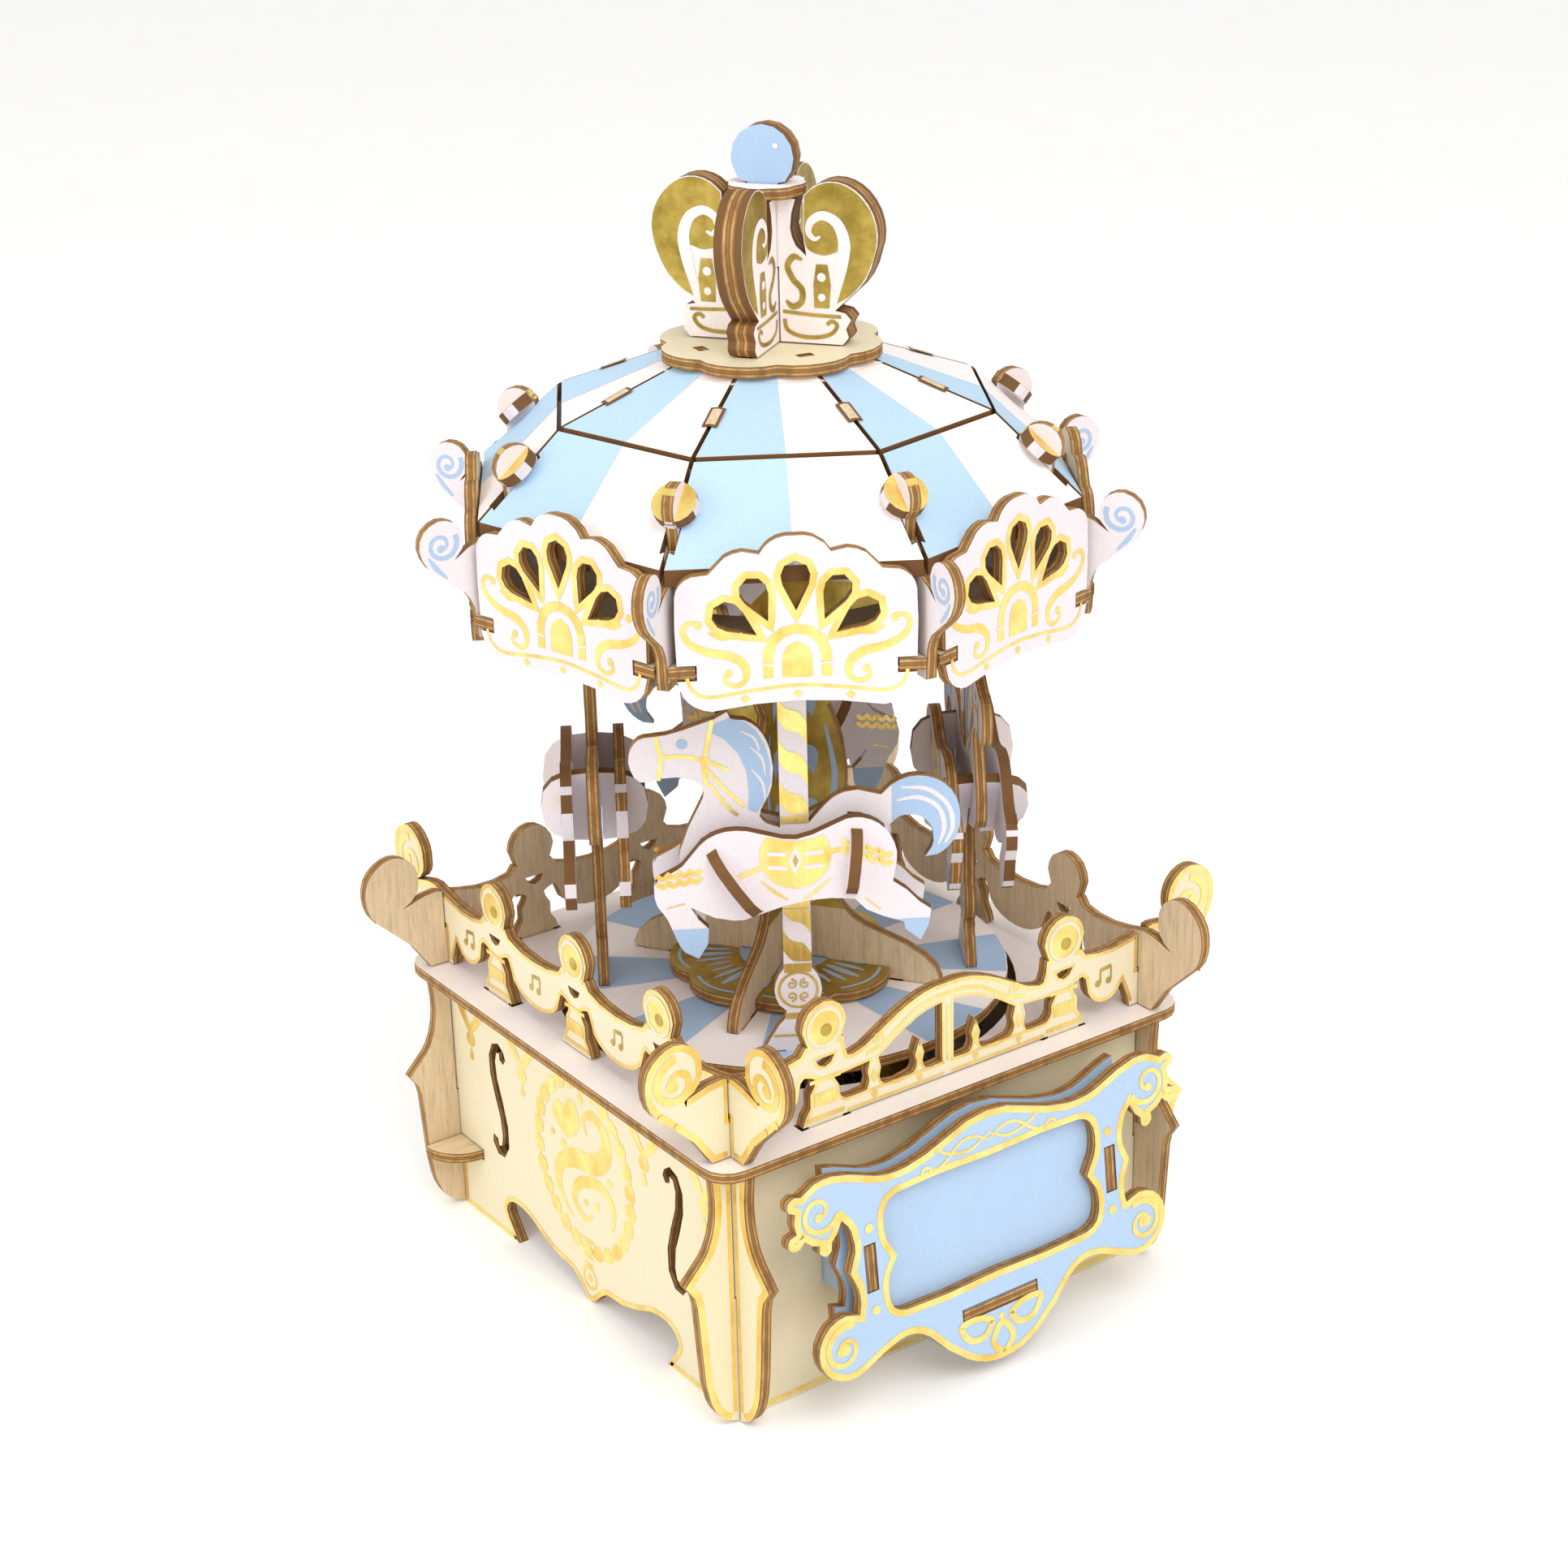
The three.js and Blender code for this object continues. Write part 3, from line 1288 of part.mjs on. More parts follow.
function horseCentre(azimuth) {
  const top = CEILING_BOTTOM - FIT;
  const outline = [
    ...mirrorKnots(POLE_FOOT),
    ...NECK_AND_CHEST,
    [-POLE_HALF, top, 1],
    [POLE_HALF, top, 1],
    ...RUMP_AND_TAIL,
    ...POLE_FOOT,
  ];
  const span = [-TENON_HALF, TENON_HALF];
  const out = [POLE_RADIUS - PLY / 2, POLE_RADIUS + PLY / 2];
  const whole = joined([
    facing(trace(outline), POLE_RADIUS),
    bar(span, out, [TABLE_BOTTOM, POLE_BOTTOM + 1]),
    bar(span, out, [top - 1, CEILING_TOP]),
  ]);
  const cutters = SPREADERS.map((ends) => spreader(ends, FIT, 1));
  return standing(azimuth, cutBy(whole, cutters));
}

function horseShell(azimuth) {
  const plates = [-SIDE_OFFSET, SIDE_OFFSET].map((offset) =>
    facing(trace(SIDE_PLATE), POLE_RADIUS + offset),
  );
  const slab = bar([-40, 40], [POLE_RADIUS - LAP, POLE_RADIUS + LAP], [0, 200]);
  const ovals = SPREADERS.map((ends) =>
    cutBy(spreader(ends, 0, 0), [common(spreader(ends, 1, -1), slab)]),
  );
  return standing(azimuth, joined([...plates, ...ovals]));
}

// ---------------------------------------------------------------- roof
const octagon = (apothem) =>
  Array.from({ length: SIDES }, (unused, index) => {
    const angle = rad(ridgeAzimuth(index));
    const radius = apothem / Math.cos(rad(22.5));
    return [radius * Math.cos(angle), radius * Math.sin(angle)];
  });

// One flat roof panel between two apothems, its sides set back from the ridges: its plan, sheared.
function roofPanel(azimuth, high, low, slope, insetHigh, insetLow) {
  const from = high[0] + insetHigh;
  const to = low[0] - insetLow;
  const halfAt = (apothem) => apothem * Math.tan(rad(22.5)) - PANEL_GAP / 2 / Math.cos(rad(22.5));
  const plan = [
    [from, -halfAt(from)],
    [to, -halfAt(to)],
    [to, halfAt(to)],
    [from, halfAt(from)],
  ];
  const vertical = PLY * Math.hypot(1, slope);
  const sheared = placed(sheet(plan, vertical), new THREE.Matrix4().makeShear(0, -slope, 0, 0, 0, 0));
  const lifted = moved(sheared, 0, 0, high[1] + high[0] * slope - vertical);
  return placed(lifted, new THREE.Matrix4().makeRotationZ(rad(azimuth)));
}

const tierApothem = TIER_RADIUS * Math.cos(rad(22.5));
const capApothem = CAP_RADIUS * Math.cos(rad(22.5));

function lowerPanel(index) {
  const panel = roofPanel(
    faceAzimuth(index),
    [tierApothem, TIER_Z],
    [EAVES_APOTHEM, EAVES_Z],
    lowerFaceSlope,
    PANEL_GAP / 2,
    0,
  );
  const out = [BALL_AT - BALL_RADIUS - FIT, BALL_AT + BALL_RADIUS + 1];
  const up = [EAVES_Z - 5, TIER_Z];
  const notches = [index, index + 1].map((at) => radialBlock(ridgeAzimuth(at), out, LAP, up));
  return cutBy(panel, notches);
}

function upperTier() {
  const panels = Array.from({ length: SIDES }, (unused, index) =>
    roofPanel(
      faceAzimuth(index),
      [capApothem, CAP_Z],
      [tierApothem, TIER_Z],
      upperFaceSlope,
      0,
      PANEL_GAP / 2,
    ),
  );
  const slope = PLY * Math.hypot(1, upperFaceSlope);
  const ring = flat(octagon(capApothem + 2), CAP_Z - slope, slope - 0.75);
  const bore = cylinderZ(12, CAP_Z - 9, CAP_Z + 3, 32);
  return cutBy(joined([ring, ...panels]), [bore]);
}

// Scalloped valance with five drop-shaped openings; up is measured from the underside of the ring plate.
const VALANCE_OUTLINE = bothSides([
  [0, 26.0],
  [3.2, 25.5],
  [5.2, 24.2],
  [6.3, 22.7, 1],
  [9.2, 23.3],
  [12.4, 22.3],
  [15.3, 19.3, 1],
  [18.3, 19.0],
  [20.4, 17.6],
  [VALANCE_HALF, 15.4],
  [VALANCE_HALF, 2 + PLY - 1.6, 1],
  [VALANCE_HALF - 3.5, 2 + PLY - 1.6, 1],
  [VALANCE_HALF - 3.5, -FIT, 1],
  [VALANCE_HALF, -FIT, 1],
  [20.4, -3.2],
  [18.4, -5.2],
  [15.4, -6.2],
  [10.4, -5.4],
  [5.0, -4.9],
  [0, -4.7],
]);
const DROP = [
  [0, -1.05],
  [0.28, -0.52],
  [0.5, -0.02],
  [0.56, 0.36],
  [0.42, 0.72],
  [0, 0.92],
  [-0.42, 0.72],
  [-0.56, 0.36],
  [-0.5, -0.02],
  [-0.28, -0.52],
];
const DROPS = [
  [0, 17.0, 4.7, 0],
  [6.9, 14.6, 4.5, -24],
  [11.0, 10.7, 4.7, -54],
];
function dropPoints(across, up, size, turn) {
  const cos = Math.cos(rad(turn));
  const sin = Math.sin(rad(turn));
  return trace(
    DROP.map(([wide, tall], index) => {
      const x = wide * size;
      const y = tall * size;
      const knot = [across + x * cos - y * sin, up + x * sin + y * cos + CEILING_BOTTOM];
      return index === 0 ? [...knot, 1] : knot;
    }),
    1,
  );
}
function valance(azimuth) {
  const lifted = VALANCE_OUTLINE.map(([across, up, corner]) =>
    corner ? [across, up + CEILING_BOTTOM, 1] : [across, up + CEILING_BOTTOM],
  );
  const holes = [];
  for (const [across, up, size, turn] of DROPS) {
    holes.push(dropPoints(across, up, size, turn));
    if (across > 0) holes.push(dropPoints(-across, up, size, -turn));
  }
  return upright(trace(lifted), azimuth, VALANCE_APOTHEM, PLY, holes);
}

// Ring plate behind the valances; its corner lugs show in their side notches.
function ceilingRing() {
  const outer = VALANCE_APOTHEM + PLY / 2 - 0.1;
  const inside = VALANCE_APOTHEM - PLY / 2 - FIT;
  const board = flat(octagon(outer), CEILING_BOTTOM, PLY, [circlePoints(0, 0, CEILING_BORE, 64)]);
  const up = [CEILING_BOTTOM - 1, CEILING_TOP + 1];
  const cutters = [];
  for (let index = 0; index < SIDES; index++) {
    const reach = VALANCE_HALF - 3.5 + FIT;
    cutters.push(block(faceAzimuth(index), [-reach, reach], [inside, outer + 2], up));
    cutters.push(radialBlock(ridgeAzimuth(index), [EAVES_RADIUS - 7.2, outer + 9], LAP, up));
  }
  for (let index = 0; index < HORSES; index++) {
    const span = [-TENON_HALF - FIT, TENON_HALF + FIT];
    cutters.push(block(horseAzimuth(index), span, [POLE_RADIUS - LAP, POLE_RADIUS + LAP], up));
  }
  return cutBy(board, cutters);
}

// ---------------------------------------------------------------- crown
const CROWN_BASE = CROWN_PLATE_TOP + FIT;
const CROWN_HALF = [
  [15.2, 0, 1],
  [16.4, 1.5],
  [15.9, 3.0],
  [16.9, 4.8, 1],
  [15.8, 6.0],
  [13.8, 6.4, 1],
  [17.0, 9.2],
  [19.9, 12.6],
  [21.7, 17.0],
  [22.3, 20.8],
  [21.5, 24.6],
  [19.3, 27.9],
  [16.3, 29.9],
  [13.0, 30.4],
  [10.0, 29.4],
  [8.0, 27.6, 1],
  [7.9, 23.6],
  [7.9, 19.6],
  [8.4, 16.4, 1],
  [6.4, 18.2],
  [5.3, 21.4],
  [5.6, 24.2],
  [6.4, CROWN_POST_TOP - CROWN_BASE, 1],
];
const CROWN_TENON = [6, 12]; // span of the tenons under the crown arms
function crownArm(azimuth, slotAbove) {
  const half = CROWN_HALF.map(([across, up, corner]) =>
    corner ? [across, up + CROWN_BASE, 1] : [across, up + CROWN_BASE],
  ).reverse();
  const board = facing(trace([...half, ...mirrorKnots(half)]), 0, CROWN_ARM_THICK);
  const tenons = [-1, 1].map((side) =>
    bar(bySide(CROWN_TENON, side), [-PLY / 2, PLY / 2], [CROWN_PLATE_BOTTOM, CROWN_BASE + 1]),
  );
  const wide = CROWN_ARM_THICK / 2 + FIT;
  const middle = CROWN_BASE + 14;
  const up = slotAbove ? [middle - EASE, CROWN_POST_TOP + 9] : [CROWN_BASE - 9, middle + EASE];
  const slot = bar([-wide, wide], [-wide, wide], up);
  return standing(azimuth - 90, cutBy(joined([board, ...tenons]), [slot]));
}

function crownPlate() {
  const up = [CROWN_PLATE_BOTTOM - 1, CROWN_PLATE_TOP + 1];
  const slots = [0, 2, 4, 6].map((index) =>
    radialBlock(ridgeAzimuth(index), [CROWN_TENON[0] - FIT, CROWN_TENON[1] + 3], LAP, up),
  );
  const small = [1, 3, 5, 7].map((index) =>
    radialBlock(ridgeAzimuth(index), [13.4, 15.6], 1.6, up),
  );
  const points = scallopPoints(CROWN_PLATE_RADIUS, SIDES, 1.9, 6, faceAzimuth(0));
  return cutBy(flat(points, CROWN_PLATE_BOTTOM), [...slots, ...small]);
}

const BALL_TENON = 3; // half width of the tenon under the crown's ball
function crownBall() {
  const middle = CROWN_CAP_TOP + CROWN_BALL_RADIUS - 1.3;
  const disc = circlePoints(0, middle, CROWN_BALL_RADIUS, 32).map(([across, up]) => [
    across,
    Math.max(up, CROWN_CAP_TOP + FIT),
  ]);
  const half = CROWN_BALL_THICK / 2;
  const body = facing(disc, 0, CROWN_BALL_THICK);
  const tenon = bar([-BALL_TENON, BALL_TENON], [-half, half], [CROWN_CAP_BOTTOM, CROWN_CAP_TOP + 1]);
  return standing(columnAzimuths[0], joined([body, tenon]));
}

function crownCap() {
  const up = [CROWN_CAP_BOTTOM - 1, CROWN_CAP_TOP + 1];
  const half = CROWN_BALL_THICK / 2 + FIT;
  const span = [-BALL_TENON - FIT, BALL_TENON + FIT];
  const points = scallopPoints(CROWN_CAP_RADIUS, SIDES, 0.5, 3, faceAzimuth(0));
  return cutBy(flat(points, CROWN_CAP_BOTTOM), [block(columnAzimuths[0], span, [-half, half], up)]);
}

// ---------------------------------------------------------------- assembly
const holesOf = (half) => {
  const hole = soundHole(SOUND_HOLE_AT * (half / (BOX_Y / 2)));
  return [hole, mirrored(hole)];
};
addNode("wall_front", wall(-90, HALF_X, HALF_Y, straightWall(HALF_X), [], true), "cream");
addNode("wall_back", wall(90, HALF_X, HALF_Y, archedWall(HALF_X), holesOf(HALF_X), true), "cream");
for (const [name, azimuth] of [["wall_left", 180], ["wall_right", 0]]) {
  const board = wall(azimuth, HALF_Y, HALF_X, archedWall(HALF_Y), holesOf(HALF_Y), false);
  addNode(name, cutBy(board, [shelfTabSlots(azimuth)]), "cream");
}
addNode("deck", deck(), "pale");
addNode("movement_shelf", shelf(), "bare");
const fenceNames = ["fence_front", "fence_back", "fence_left", "fence_right"];
FENCES.forEach((sizes, index) => addNode(fenceNames[index], fence(...sizes), "cream"));

const plaqueFace = leaningSheet(trace(bothSides(PLAQUE_HALF)), 0, PLY, [
  trace(bothSides(WINDOW_HALF)),
]);
addNode("plaque_front", cutBy(plaqueFace, plaqueSlots(FIT)), "blue");
addNode("plaque_back", plaqueBack(), "blue");
addNode("plaque_cheek_left", plaqueCheek(-1), "blue");
addNode("plaque_cheek_right", plaqueCheek(1), "blue");
addNode("plaque_prop", plaqueProp(), "blue");

addNode("movement_bedplate", bedplate(), "brass");
addNode("movement_comb", comb(), "steel");
addNode("movement_cylinder", pinnedCylinder(), "brass");
addNode("movement_fly", fly(), "steel");
addNode("movement_barrel", springBarrel(), "steel");
addNode("winding_key", windingKey(), "steel");

addNode("turntable", turntable(), "pale");
addNode("medallion", medallion(), "gold");
addNode("column_plate_a", columnPlate(columnAzimuths[0], true), "pale");
addNode("column_plate_b", columnPlate(columnAzimuths[1], false), "pale");
for (let index = 0; index < HORSES; index++) {
  addNode("horse_" + (index + 1) + "_pole", horseCentre(horseAzimuth(index)), "lilac");
  addNode("horse_" + (index + 1) + "_body", horseShell(horseAzimuth(index)), "lilac");
}
addNode("ceiling_ring", ceilingRing(), "bare");
for (let index = 0; index < SIDES; index++) {
  if (index % 2) addNode("roof_rib_" + (index + 1) / 2, plainRib(ridgeAzimuth(index)), "lilac");
}
for (let index = 0; index < SIDES; index++) {
  addNode("roof_panel_" + (index + 1), lowerPanel(index), "blue");
  addNode("valance_" + (index + 1), valance(faceAzimuth(index)), "lilac");
}
addNode("roof_top", upperTier(), "pale");
addNode("crown_plate", crownPlate(), "cream");
addNode("crown_arm_a", crownArm(columnAzimuths[0], true), "gold");
addNode("crown_arm_b", crownArm(columnAzimuths[1], false), "gold");
addNode("crown_cap", crownCap(), "cream");
addNode("crown_ball", crownBall(), "blue");

export default carousel;
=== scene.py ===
import bpy
import bmesh
import math
from mathutils import Vector, Matrix
from mathutils.geometry import tessellate_polygon


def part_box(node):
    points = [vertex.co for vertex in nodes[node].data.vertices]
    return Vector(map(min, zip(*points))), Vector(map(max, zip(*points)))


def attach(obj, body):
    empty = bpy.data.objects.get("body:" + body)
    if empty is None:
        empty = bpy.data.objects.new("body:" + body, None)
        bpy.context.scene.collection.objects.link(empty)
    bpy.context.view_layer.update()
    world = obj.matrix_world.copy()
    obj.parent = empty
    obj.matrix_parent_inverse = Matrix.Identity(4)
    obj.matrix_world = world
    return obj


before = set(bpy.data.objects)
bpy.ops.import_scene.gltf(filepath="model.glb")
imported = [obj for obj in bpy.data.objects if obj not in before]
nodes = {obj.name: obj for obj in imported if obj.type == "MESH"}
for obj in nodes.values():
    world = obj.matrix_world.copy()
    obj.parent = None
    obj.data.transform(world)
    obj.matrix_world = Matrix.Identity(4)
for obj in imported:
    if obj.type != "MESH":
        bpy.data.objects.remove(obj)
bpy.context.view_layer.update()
scene = bpy.context.scene
MM = 0.001
PLY = 2.2  # thickness of a sheet
WALL_X = 50  # carousel axis to the middle of the left and right walls
WALL_Y = 52  # carousel axis to the middle of the front and back walls
POLE_RADIUS = 37.6  # carousel axis to the middle of a horse's centre plate
SIDE_OFFSET = 5.3  # centre plate to each side plate of a horse
OVAL_ENDS = 8  # the oval plates of a horse reach further out than this from its centre plate
VALANCE_RADIUS = 57.75  # carousel axis to the middle of a valance
CROWN_ARM = 5.4  # thickness of a crown arm
PLAQUE_LEAN = 6.5  # degrees the plaque leans back

# ------------------------------------------------------------------ camera
AZIMUTH, ELEVATION, ROLL = math.radians(-35.26), math.radians(22.72), math.radians(-1.44)
DISTANCE, LENS = 592.86, 67.71
back = Vector(
    (
        math.sin(AZIMUTH) * math.cos(ELEVATION),
        -math.cos(AZIMUTH) * math.cos(ELEVATION),
        math.sin(ELEVATION),
    )
)
right = Vector((math.cos(AZIMUTH), math.sin(AZIMUTH), 0))
up = back.cross(right)
rolled_right = math.cos(ROLL) * right + math.sin(ROLL) * up
rolled_up = -math.sin(ROLL) * right + math.cos(ROLL) * up
look_at = right * 0.44 + Vector((0, 0, 101.53))
camera_data = bpy.data.cameras.new("camera")
camera = bpy.data.objects.new("camera", camera_data)
scene.collection.objects.link(camera)
camera_data.sensor_width = 36
camera_data.lens = LENS
camera_data.clip_start = 0.01
camera_data.clip_end = 50
turn = Matrix((rolled_right, rolled_up, back)).transposed().to_4x4()
turn.translation = (look_at + back * DISTANCE) * MM
camera.matrix_world = turn
scene.camera = camera


# ------------------------------------------------------------------ materials
def new_material(name):
    material = bpy.data.materials.new(name)
    material.use_nodes = True
    tree = material.node_tree
    tree.nodes.clear()
    output = tree.nodes.new("ShaderNodeOutputMaterial")
    shader = tree.nodes.new("ShaderNodeBsdfPrincipled")
    tree.links.new(shader.outputs["BSDF"], output.inputs["Surface"])
    return material, tree, shader


def linear(colour):
    out = []
    for value in colour:
        value /= 255
        out.append(value / 12.92 if value <= 0.04045 else ((value + 0.055) / 1.055) ** 2.4)
    return (*out, 1)


def shade(colour, share):
    return linear(tuple(min(255, value * share) for value in colour))


def add(tree, kind, **inputs):
    node = tree.nodes.new(kind)
    for key, value in inputs.items():
        node.inputs[key].default_value = value
    return node


def scaled_position(tree, scale=(1, 1, 1)):
    place = tree.nodes.new("ShaderNodeTexCoord")
    mapping = add(tree, "ShaderNodeMapping", Scale=scale)
    tree.links.new(place.outputs["Object"], mapping.inputs["Vector"])
    return mapping.outputs["Vector"]


def noise(tree, vector, scale, detail=4, rough=0.6):
    node = add(tree, "ShaderNodeTexNoise", Scale=scale, Detail=detail, Roughness=rough)
    tree.links.new(vector, node.inputs["Vector"])
    return node.outputs["Fac"]


def ramp(tree, factor, stops):
    node = tree.nodes.new("ShaderNodeValToRGB")
    while len(node.color_ramp.elements) < len(stops):
        node.color_ramp.elements.new(0.5)
    for element, (place, colour) in zip(node.color_ramp.elements, stops):
        element.position = place
        element.color = colour
    tree.links.new(factor, node.inputs["Fac"])
    return node.outputs["Color"]


def climb(tree, factor, low, high, most):
    """A grey factor that climbs from nothing to its most between two values."""
    return ramp(tree, factor, [(low, (0, 0, 0, 1)), (high, (most, most, most, 1))])


def mixed(tree, factor, first, second, blend="MIX"):
    node = tree.nodes.new("ShaderNodeMix")
    node.data_type = "RGBA"
    node.blend_type = blend
    for value, socket in ((factor, node.inputs[0]), (first, node.inputs[6]), (second, node.inputs[7])):
        if isinstance(value, (float, int, tuple)):
            socket.default_value = value
        else:
            tree.links.new(value, socket)
    return node.outputs[2]


def bump(tree, shader, height, strength, distance):
    node = add(tree, "ShaderNodeBump", Strength=strength, Distance=distance)
    tree.links.new(height, node.inputs["Height"])
    tree.links.new(node.outputs["Normal"], shader.inputs["Normal"])


GRAIN = {
    "z": (700, 700, 60),
    "x": (60, 700, 700),
    "y": (700, 60, 700),
    "level": (90, 90, 900),
}


def printed(name, colour, grain="z", rough=0.55):
    """Paper-like print on birch sheet: nearly even, with a fine speckle and a trace of the grain."""
    material, tree, shader = new_material(name)
    fibre = noise(tree, scaled_position(tree, GRAIN[grain]), 1.6, 4)
    cloud = noise(tree, scaled_position(tree), 70, 3)
    speckle = noise(tree, scaled_position(tree), 2600, 3, 0.7)
    base = linear(colour)
    darker = shade(colour, 0.955)
    lighter = shade(colour, 1.025)
    body = ramp(tree, speckle, [(0.32, darker), (0.52, base), (0.7, lighter)])
    body = mixed(tree, climb(tree, fibre, 0.5, 0.8, 0.3), body, darker)
    body = mixed(tree, climb(tree, cloud, 0.4, 0.75, 0.3), body, darker)
    tree.links.new(body, shader.inputs["Base Color"])
    shader.inputs["Roughness"].default_value = rough
    bump(tree, shader, speckle, 0.1, 0.0001)
    return material


def foil(name, colour, deep, grain="z", rough=0.3):
    """Hot-stamped gold foil: mirror-like, broken up by the grain it was pressed on."""
    material, tree, shader = new_material(name)
    place = scaled_position(tree, GRAIN[grain])
    fibre = noise(tree, place, 3.0, 5)
    wear = noise(tree, scaled_position(tree), 160, 4)
    body = ramp(tree, wear, [(0.3, linear(deep)), (0.6, linear(colour))])
    tree.links.new(body, shader.inputs["Base Color"])
    shader.inputs["Metallic"].default_value = 0.88
    rough_map = ramp(tree, fibre, [(0.3, (rough * 0.7,) * 3 + (1,)), (0.7, (rough * 1.5,) * 3 + (1,))])
    tree.links.new(rough_map, shader.inputs["Roughness"])
    bump(tree, shader, fibre, 0.22, 0.0002)
    return material


def bare_wood(name, colour, grain="z"):
    material, tree, shader = new_material(name)
    place = scaled_position(tree, GRAIN[grain])
    fibre = noise(tree, place, 1.6, 6, 0.7)
    flecks = noise(tree, place, 7.0, 3, 0.6)
    body = ramp(
        tree,
        fibre,
        [
            (0.28, shade(colour, 0.86)),
            (0.5, linear(colour)),
            (0.72, shade(colour, 1.05)),
        ],
    )
    mask = climb(tree, flecks, 0.6, 0.68, 0.5)
    body = mixed(tree, mask, body, shade(colour, 0.72))
    tree.links.new(body, shader.inputs["Base Color"])
    shader.inputs["Roughness"].default_value = 0.68
    bump(tree, shader, fibre, 0.2, 0.0002)
    return material


def layered_edge(name, normal, distance, thick):
    """Laser-cut edge: charred brown, with the layers of the sheet showing across its thickness."""
    material, tree, shader = new_material(name)
    place = tree.nodes.new("ShaderNodeTexCoord")
    along = tree.nodes.new("ShaderNodeVectorMath")
    along.operation = "DOT_PRODUCT"
    along.inputs[1].default_value = normal
    tree.links.new(place.outputs["Object"], along.inputs[0])
    share = tree.nodes.new("ShaderNodeMapRange")
    share.inputs["From Min"].default_value = (distance - thick / 2) * MM
    share.inputs["From Max"].default_value = (distance + thick / 2) * MM
    tree.links.new(along.outputs["Value"], share.inputs["Value"])
    waver = noise(tree, scaled_position(tree), 260, 3)
    shifted = tree.nodes.new("ShaderNodeMath")
    shifted.operation = "MULTIPLY_ADD"
    shifted.inputs[1].default_value = 0.09
    tree.links.new(waver, shifted.inputs[0])
    tree.links.new(share.outputs["Result"], shifted.inputs[2])
    char = linear((112, 74, 32))
    tan = linear((204, 158, 92))
    mid = linear((150, 106, 50))
    pale = linear((216, 176, 112))
    layers = ramp(
        tree,
        shifted.outputs["Value"],
        [(0.04, char), (0.14, mid), (0.3, tan), (0.4, char), (0.48, mid), (0.62, mid), (0.7, char),
            (0.78, pale), (0.96, mid), (1.0, char)],
    )
    soot = noise(tree, scaled_position(tree, (1, 1, 0.35)), 420, 5, 0.7)
    body = mixed(tree, climb(tree, soot, 0.42, 0.66, 0.75), layers, char)
    tree.links.new(body, shader.inputs["Base Color"])
    shader.inputs["Roughness"].default_value = 0.75
    bump(tree, shader, soot, 0.3, 0.0002)
    return material


def metal(name, colour, rough):
    material, tree, shader = new_material(name)
    fibre = noise(tree, scaled_position(tree, (300, 40, 300)), 3, 4)
    body = ramp(tree, fibre, [(0.3, shade(colour, 0.85)), (0.7, linear(colour))])
    tree.links.new(body, shader.inputs["Base Color"])
    shader.inputs["Metallic"].default_value = 1.0
    shader.inputs["Roughness"].default_value = rough
    bump(tree, shader, fibre, 0.05, 0.0001)
    return material


CREAM = printed("cream_print", (232, 221, 188))
PALE = printed("pale_print", (240, 231, 229), "x")
LILAC = printed("lilac_print", (230, 221, 224))
WHITE = printed("white_print", (247, 238, 236))
SKY = printed("sky_print", (166, 192, 222))
ROOF_BLUE = printed("roof_blue_print", (183, 212, 236))
PLAQUE_BLUE = printed("plaque_blue_print", (174, 199, 228))
BARE = bare_wood("bare_birch", (216, 192, 158))
BARE_FLAT = bare_wood("bare_birch_flat", (222, 200, 162), "x")
GOLD = foil("gold_foil", (252, 226, 140), (232, 194, 98))
GOLD_DARK = foil("gold_foil_deep", (205, 178, 92), (160, 134, 58), rough=0.38)
CROWN_GOLD = foil("gold_foil_crown", (196, 170, 84), (142, 120, 48), "level", 0.4)
BRASS = metal("brass", (205, 168, 90), 0.35)
STEEL = metal("steel", (190, 194, 200), 0.3)
edge_cache = {}


def edge_material(normal, distance, thick):
    key = tuple(round(value, 3) for value in (*normal, distance, thick))
    if key not in edge_cache:
        edge_cache[key] = layered_edge("layered_edge_%d" % len(edge_cache), normal, distance, thick)
    return edge_cache[key]


# ------------------------------------------------------------------ flat frames on the sheets
class Plane:
    """A flat frame in millimetres: across, up and the way it faces, on a body."""

    body = "carousel"

    def __init__(self, origin, across, upward):
        self.origin = Vector(origin)
        self.across = Vector(across).normalized()
        self.upward = Vector(upward).normalized()
        self.normal = self.across.cross(self.upward).normalized()

    def point(self, place, lift=0.0):
        return self.origin + place[0] * self.across + place[1] * self.upward + lift * self.normal

    def flat(self, point):
        away = Vector(point) - self.origin
        return (away.dot(self.across), away.dot(self.upward), away.dot(self.normal))


def upright(azimuth, distance, thick=PLY):
    """The outer face of an upright sheet whose middle is at the given distance."""
    angle = math.radians(azimuth)
    normal = Vector((math.cos(angle), math.sin(angle), 0))
    across = Vector((-math.sin(angle), math.cos(angle), 0))
    return Plane(normal * (distance + thick / 2), across, (0, 0, 1))


def either_face(azimuth, distance, side):
    """The outer or inner face of an upright sheet; across keeps its direction."""
    plane = upright(azimuth, distance)
    if side < 0:
        plane.origin = plane.origin - plane.normal * PLY
        plane.normal = -plane.normal
    return plane


def radial(azimuth, side, thick=PLY):
    """One face of a sheet standing in the radial plane at the azimuth; across is the radius."""
    angle = math.radians(azimuth)
    out = Vector((math.cos(angle), math.sin(angle), 0))
    plane = Plane((0, 0, 0), out, (0, 0, 1))
    if side < 0:
        plane.normal = -plane.normal
    plane.origin = plane.normal * (thick / 2)
    return plane


def level(height):
    return Plane((0, 0, height), (1, 0, 0), (0, 1, 0))


# ------------------------------------------------------------------ ink: prints as thin shapes above a sheet
INKS = {}


class Ink:
    def __init__(self, body, material):
        self.body = body
        self.material = material
        self.points = []
        self.faces = []

    def face(self, corners, outward):
        """Adds one flat face, turned to look along outward."""
        if (corners[1] - corners[0]).cross(corners[2] - corners[0]).dot(outward) < 0:
            corners.reverse()
        start = len(self.points)
        self.points.extend(corners)
        self.faces.append(tuple(range(start, start + len(corners))))


